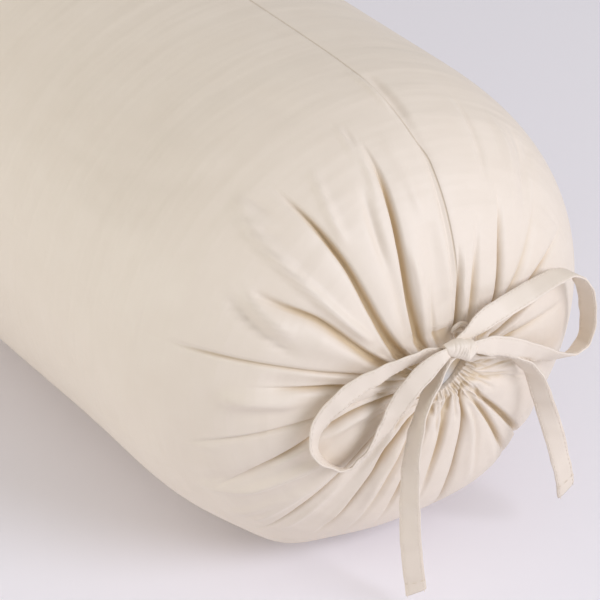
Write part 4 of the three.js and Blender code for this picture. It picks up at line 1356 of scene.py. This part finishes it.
def edge_wave(run, across, seed):
    """The slow rise and fall of both edges, each with its own two waves."""
    phases = np.random.default_rng(seed).uniform(0.0, 2 * math.pi, 4)
    waves = [
        np.sin(2 * math.pi * run / (RIPPLE_LENGTH * scale) + phase)
        for scale, phase in zip(LEFT_RIPPLES + RIGHT_RIPPLES, phases)
    ]
    left = waves[0] + SMALL_RIPPLE * waves[1]
    right = waves[2] + SMALL_RIPPLE * waves[3]
    share = across / TAPE_WIDTH + 0.5
    return EDGE_RIPPLE * (left[:, None] * (1 - share) ** 2 + right[:, None] * share ** 2)


def hem_shape(from_hem):
    """Thickness and slant of a free end: doubled cloth past a dent, cut on the slant."""
    thick = 1.0 + (HEM_THICKENING - 1.0) * smooth(from_hem / HEM_STEP)
    thick -= HEM_DENT * bell(from_hem / HEM_DENT_WIDTH)
    slide = HEM_SLANT * smooth((from_hem + HEM_LENGTH) / (2 * HEM_LENGTH))
    return thick, slide


def stitch_lines_of(ring, outward, side_width, from_hem, hem):
    """Lines of stitches along both edges on both faces, and across the hem."""
    lines = []
    for edge in (-1, 1):
        place = edge * (TAPE_WIDTH / 2 - EDGE_STITCH_INSET)
        near = int(np.argmin(np.abs(side_width[:TAPE_SIDE_POINTS] - place)))
        for column, face in ((near, 1), (2 * TAPE_SIDE_POINTS - 1 - near, -1)):
            lines.append(ring[:, column] + outward * face * THREAD_RADIUS * THREAD_LIFT)
    if hem:
        row = int(np.argmin(np.abs(from_hem - HEM_STITCH_INSET)))
        for columns, face in ((slice(2, TAPE_SIDE_POINTS - 2), 1),
                              (slice(TAPE_SIDE_POINTS + 2, -2), -1)):
            lines.append(ring[row, columns] + outward[row] * face * THREAD_RADIUS)
    return lines


def make_tape(name, rows, seed, knot_ends, hem):
    """A closed strip along a route, the points of its middle and the lines of its stitching."""
    run, points, tangent, across, outward = even_route(rows)
    side_width, side_height = tape_section()
    pinch = np.ones_like(run)
    for at_knot in knot_ends:
        from_knot = np.abs(run - at_knot * run[-1])
        pinch -= (1.0 - KNOT_PINCH) * (1.0 - smooth(from_knot / PINCH_LENGTH))
    from_hem = run - run[-1] + HEM_LENGTH
    thick, slide = hem_shape(from_hem) if hem else (np.ones_like(run), np.zeros_like(run))
    wide = side_width[None, :] * pinch[:, None]
    high = side_height[None, :] * thick[:, None] + edge_wave(run, side_width, seed)
    ring = (
        points[:, None, :]
        + across[:, None, :] * wide[..., None]
        + outward[:, None, :] * high[..., None]
        + tangent[:, None, :] * (slide[:, None] * side_width[None, :])[..., None]
    )
    rows_count, columns, _ = ring.shape
    faces = [tuple(face) for face in grid_faces(rows_count, columns).tolist()]
    faces.append(tuple(range(columns)))
    faces.append(tuple(range((rows_count - 1) * columns, rows_count * columns))[::-1])
    mesh = bpy.data.meshes.new(name)
    mesh.from_pydata(ring.reshape(-1, 3).tolist(), [], faces)
    map_cloth(
        mesh,
        np.broadcast_to(side_width[None, :], wide.shape),
        np.broadcast_to(run[:, None], wide.shape),
    )
    return mesh, points, stitch_lines_of(ring, outward, side_width, from_hem, hem)


# Name, route, node that it replaces, length, seed, ends in the knot, and whether it has a hem
TAPES = (
    ("bow_loop_left_tape", LEFT_LOOP, "bow_loop_left", 0.170, 11, (0, 1), False),
    ("bow_loop_right_tape", RIGHT_LOOP, "bow_loop_right", 0.213, 12, (0, 1), False),
    ("tie_tail_left_tape", LEFT_TAIL, "tie_tail_left", 0.122, 13, (0,), True),
    ("tie_tail_right_tape", RIGHT_TAIL, "tie_tail_right", 0.122, 14, (0,), True),
)
tape_material = make_sateen("tape_sateen", SATEEN_COLOUR, SATEEN_SHADE, SATEEN_ROUGHNESS)
for name, route, node, length, seed, knot_ends, hem in TAPES:
    mesh, path, stitch_lines = make_tape(name, route, seed, knot_ends, hem)
    tape = add_piece(name, mesh, tape_material)
    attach(tape, "root")
    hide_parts(node)
    stitches = sew(node + "_stitches", stitch_lines, False)


# Knot
# The knot is the same tape wrapped twice round the crossing of loops and tails: a flat band,
# its near edge straight, with a tight roll beside it and a small fold of tape hanging under it.
KNOT_CENTRE = np.array([0.4606, -0.0026, 0.1255])
KNOT_AXIS = np.array([0.07, 0.975, -0.20])
KNOT_LENGTH = 0.0150
KNOT_HIGH, KNOT_DEEP = 0.0043, 0.0042
KNOT_SLANT = -0.45
KNOT_ROWS, KNOT_COLUMNS = 90, 120

# The knot's outline as shares of its length and of its thickness
KNOT_OUTLINE = (
    (0.03, 0.0), (0.0, 0.34), (0.0, 0.42), (0.012, 0.50), (0.05, 0.56), (0.15, 0.67), (0.3, 0.84),
    (0.42, 0.95), (0.52, 1.0), (0.60, 0.97), (0.66, 0.86), (0.69, 0.80), (0.73, 0.82),
    (0.80, 0.84), (0.88, 0.78), (0.95, 0.60), (0.99, 0.38), (1.0, 0.2), (1.0, 0.0),
)
KNOT_SQUARENESS = 2.4

# Creases of its wraps: share of the length, depth, width in shares of the length, and the turn
# round the knot at which each is deepest, in degrees
KNOT_CREASES = (
    (0.16, 0.00030, 0.022, 40), (0.28, 0.00040, 0.020, 20), (0.38, 0.00060, 0.017, 5),
    (0.46, 0.00070, 0.015, 0), (0.54, 0.00080, 0.016, 0), (0.62, 0.00060, 0.015, 15),
    (0.86, 0.00060, 0.022, 35),
)
KNOT_CREASE_SKEW, KNOT_CREASE_SPREAD = 0.12, 46.0
LOBE_PLACE, LOBE_TURN, LOBE_HEIGHT = 0.66, -40.0, 0.0016
LOBE_LENGTH, LOBE_SPREAD = 0.13, 36.0


def knot_swell(place, turn):
    """Height of the creases and of the small hanging fold on the knot."""
    crease = np.zeros((KNOT_ROWS, KNOT_COLUMNS))
    for at, depth, width, middle in KNOT_CREASES:
        skewed = place - at - KNOT_CREASE_SKEW * np.sin(turn)[None, :]
        beside = angle_between(np.degrees(turn), middle)[None, :] / KNOT_CREASE_SPREAD
        crease -= depth * bell(skewed / width) * bell(beside)
    beside = angle_between(np.degrees(turn), LOBE_TURN)[None, :] / LOBE_SPREAD
    return crease + LOBE_HEIGHT * bell((place - LOBE_PLACE) / LOBE_LENGTH) * bell(beside)


def make_knot():
    """A closed roll round the knot's axis, with its outline, creases and hanging fold."""
    axis = unit(KNOT_AXIS)
    high = unit(np.array([0.0, 0.0, 1.0]) - axis * axis[2])
    deep = np.cross(high, axis)
    deep *= math.copysign(1.0, deep[0])
    outline = np.array(KNOT_OUTLINE)
    walked = np.concatenate([[0.0], np.cumsum(np.linalg.norm(np.diff(outline, axis=0), axis=1))])
    even = np.linspace(0.0, walked[-1], KNOT_ROWS)
    place = np.interp(even, walked, outline[:, 0])[:, None]
    size = np.interp(even, walked, outline[:, 1])[:, None]
    turn = np.arange(KNOT_COLUMNS) * 2 * math.pi / KNOT_COLUMNS
    square = (np.abs(np.cos(turn)) ** KNOT_SQUARENESS
              + np.abs(np.sin(turn)) ** KNOT_SQUARENESS) ** (-1 / KNOT_SQUARENESS)
    swell = knot_swell(place, turn) * smooth(size * 2)
    reach = size * square[None, :]
    up = reach * KNOT_HIGH * np.sin(turn) + swell * np.sin(turn)
    along = (place - 0.5) * KNOT_LENGTH + KNOT_SLANT * (1.0 - place) * up
    out = reach * KNOT_DEEP * np.cos(turn) + swell * np.cos(turn)
    points = (
        KNOT_CENTRE
        + axis * along[..., None]
        + high * up[..., None]
        + deep * out[..., None]
    )
    mesh = grid_mesh("tie_knot_wraps", points)
    map_cloth(mesh, np.broadcast_to(along, up.shape), np.broadcast_to(turn * KNOT_HIGH, up.shape))
    close_poles(mesh)
    return mesh


knot = add_piece("tie_knot_wraps", make_knot(), tape_material)
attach(knot, "root")
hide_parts("tie_knot")


# Floor and light
# A plain pale floor. A large soft light stands before the tied end, above it and to the right;
# a weaker one low on the near side and the warm pale room fill the shadows.
FLOOR_SIZE = 12.0
FLOOR_COLOUR = (0.915, 0.892, 0.94, 1.0)
FLOOR_ROUGHNESS = 0.7
WORLD_COLOUR = (1.0, 0.98, 0.95, 1.0)
WORLD_STRENGTH = 0.55

# Lights: name, place, diameter, power and colour
LIGHTS = (
    ("key_light", (2.15, 0.75, 1.25), 1.2, 30.5, (0.85, 0.875, 1.0)),
    ("low_light", (-0.6, -2.2, 0.45), 1.5, 20.5, (0.985, 1.0, 0.97)),
)
LIGHT_TARGET = Vector((0.35, 0.0, 0.10))

floor_mesh = bpy.data.meshes.new("floor")
edge = FLOOR_SIZE / 2
floor_mesh.from_pydata(
    [(-edge, -edge, 0), (edge, -edge, 0), (edge, edge, 0), (-edge, edge, 0)], [], [(0, 1, 2, 3)],
)
floor_material = bpy.data.materials.new("pale_floor")
floor_material.use_nodes = True
floor_surface = floor_material.node_tree.nodes["Principled BSDF"]
floor_surface.inputs["Base Color"].default_value = FLOOR_COLOUR
floor_surface.inputs["Roughness"].default_value = FLOOR_ROUGHNESS
floor = bpy.data.objects.new("floor", floor_mesh)
scene.collection.objects.link(floor)
floor_mesh.materials.append(floor_material)

world = bpy.data.worlds.new("studio")
world.use_nodes = True
world.node_tree.nodes["Background"].inputs["Color"].default_value = WORLD_COLOUR
world.node_tree.nodes["Background"].inputs["Strength"].default_value = WORLD_STRENGTH
scene.world = world

for name, place, size, power, colour in LIGHTS:
    data = bpy.data.lights.new(name, "AREA")
    data.shape = "DISK"
    data.size = size
    data.energy = power
    data.color = colour
    light = bpy.data.objects.new(name, data)
    light.location = place
    light.rotation_euler = (Vector(place) - LIGHT_TARGET).to_track_quat("Z", "Y").to_euler()
    scene.collection.objects.link(light)
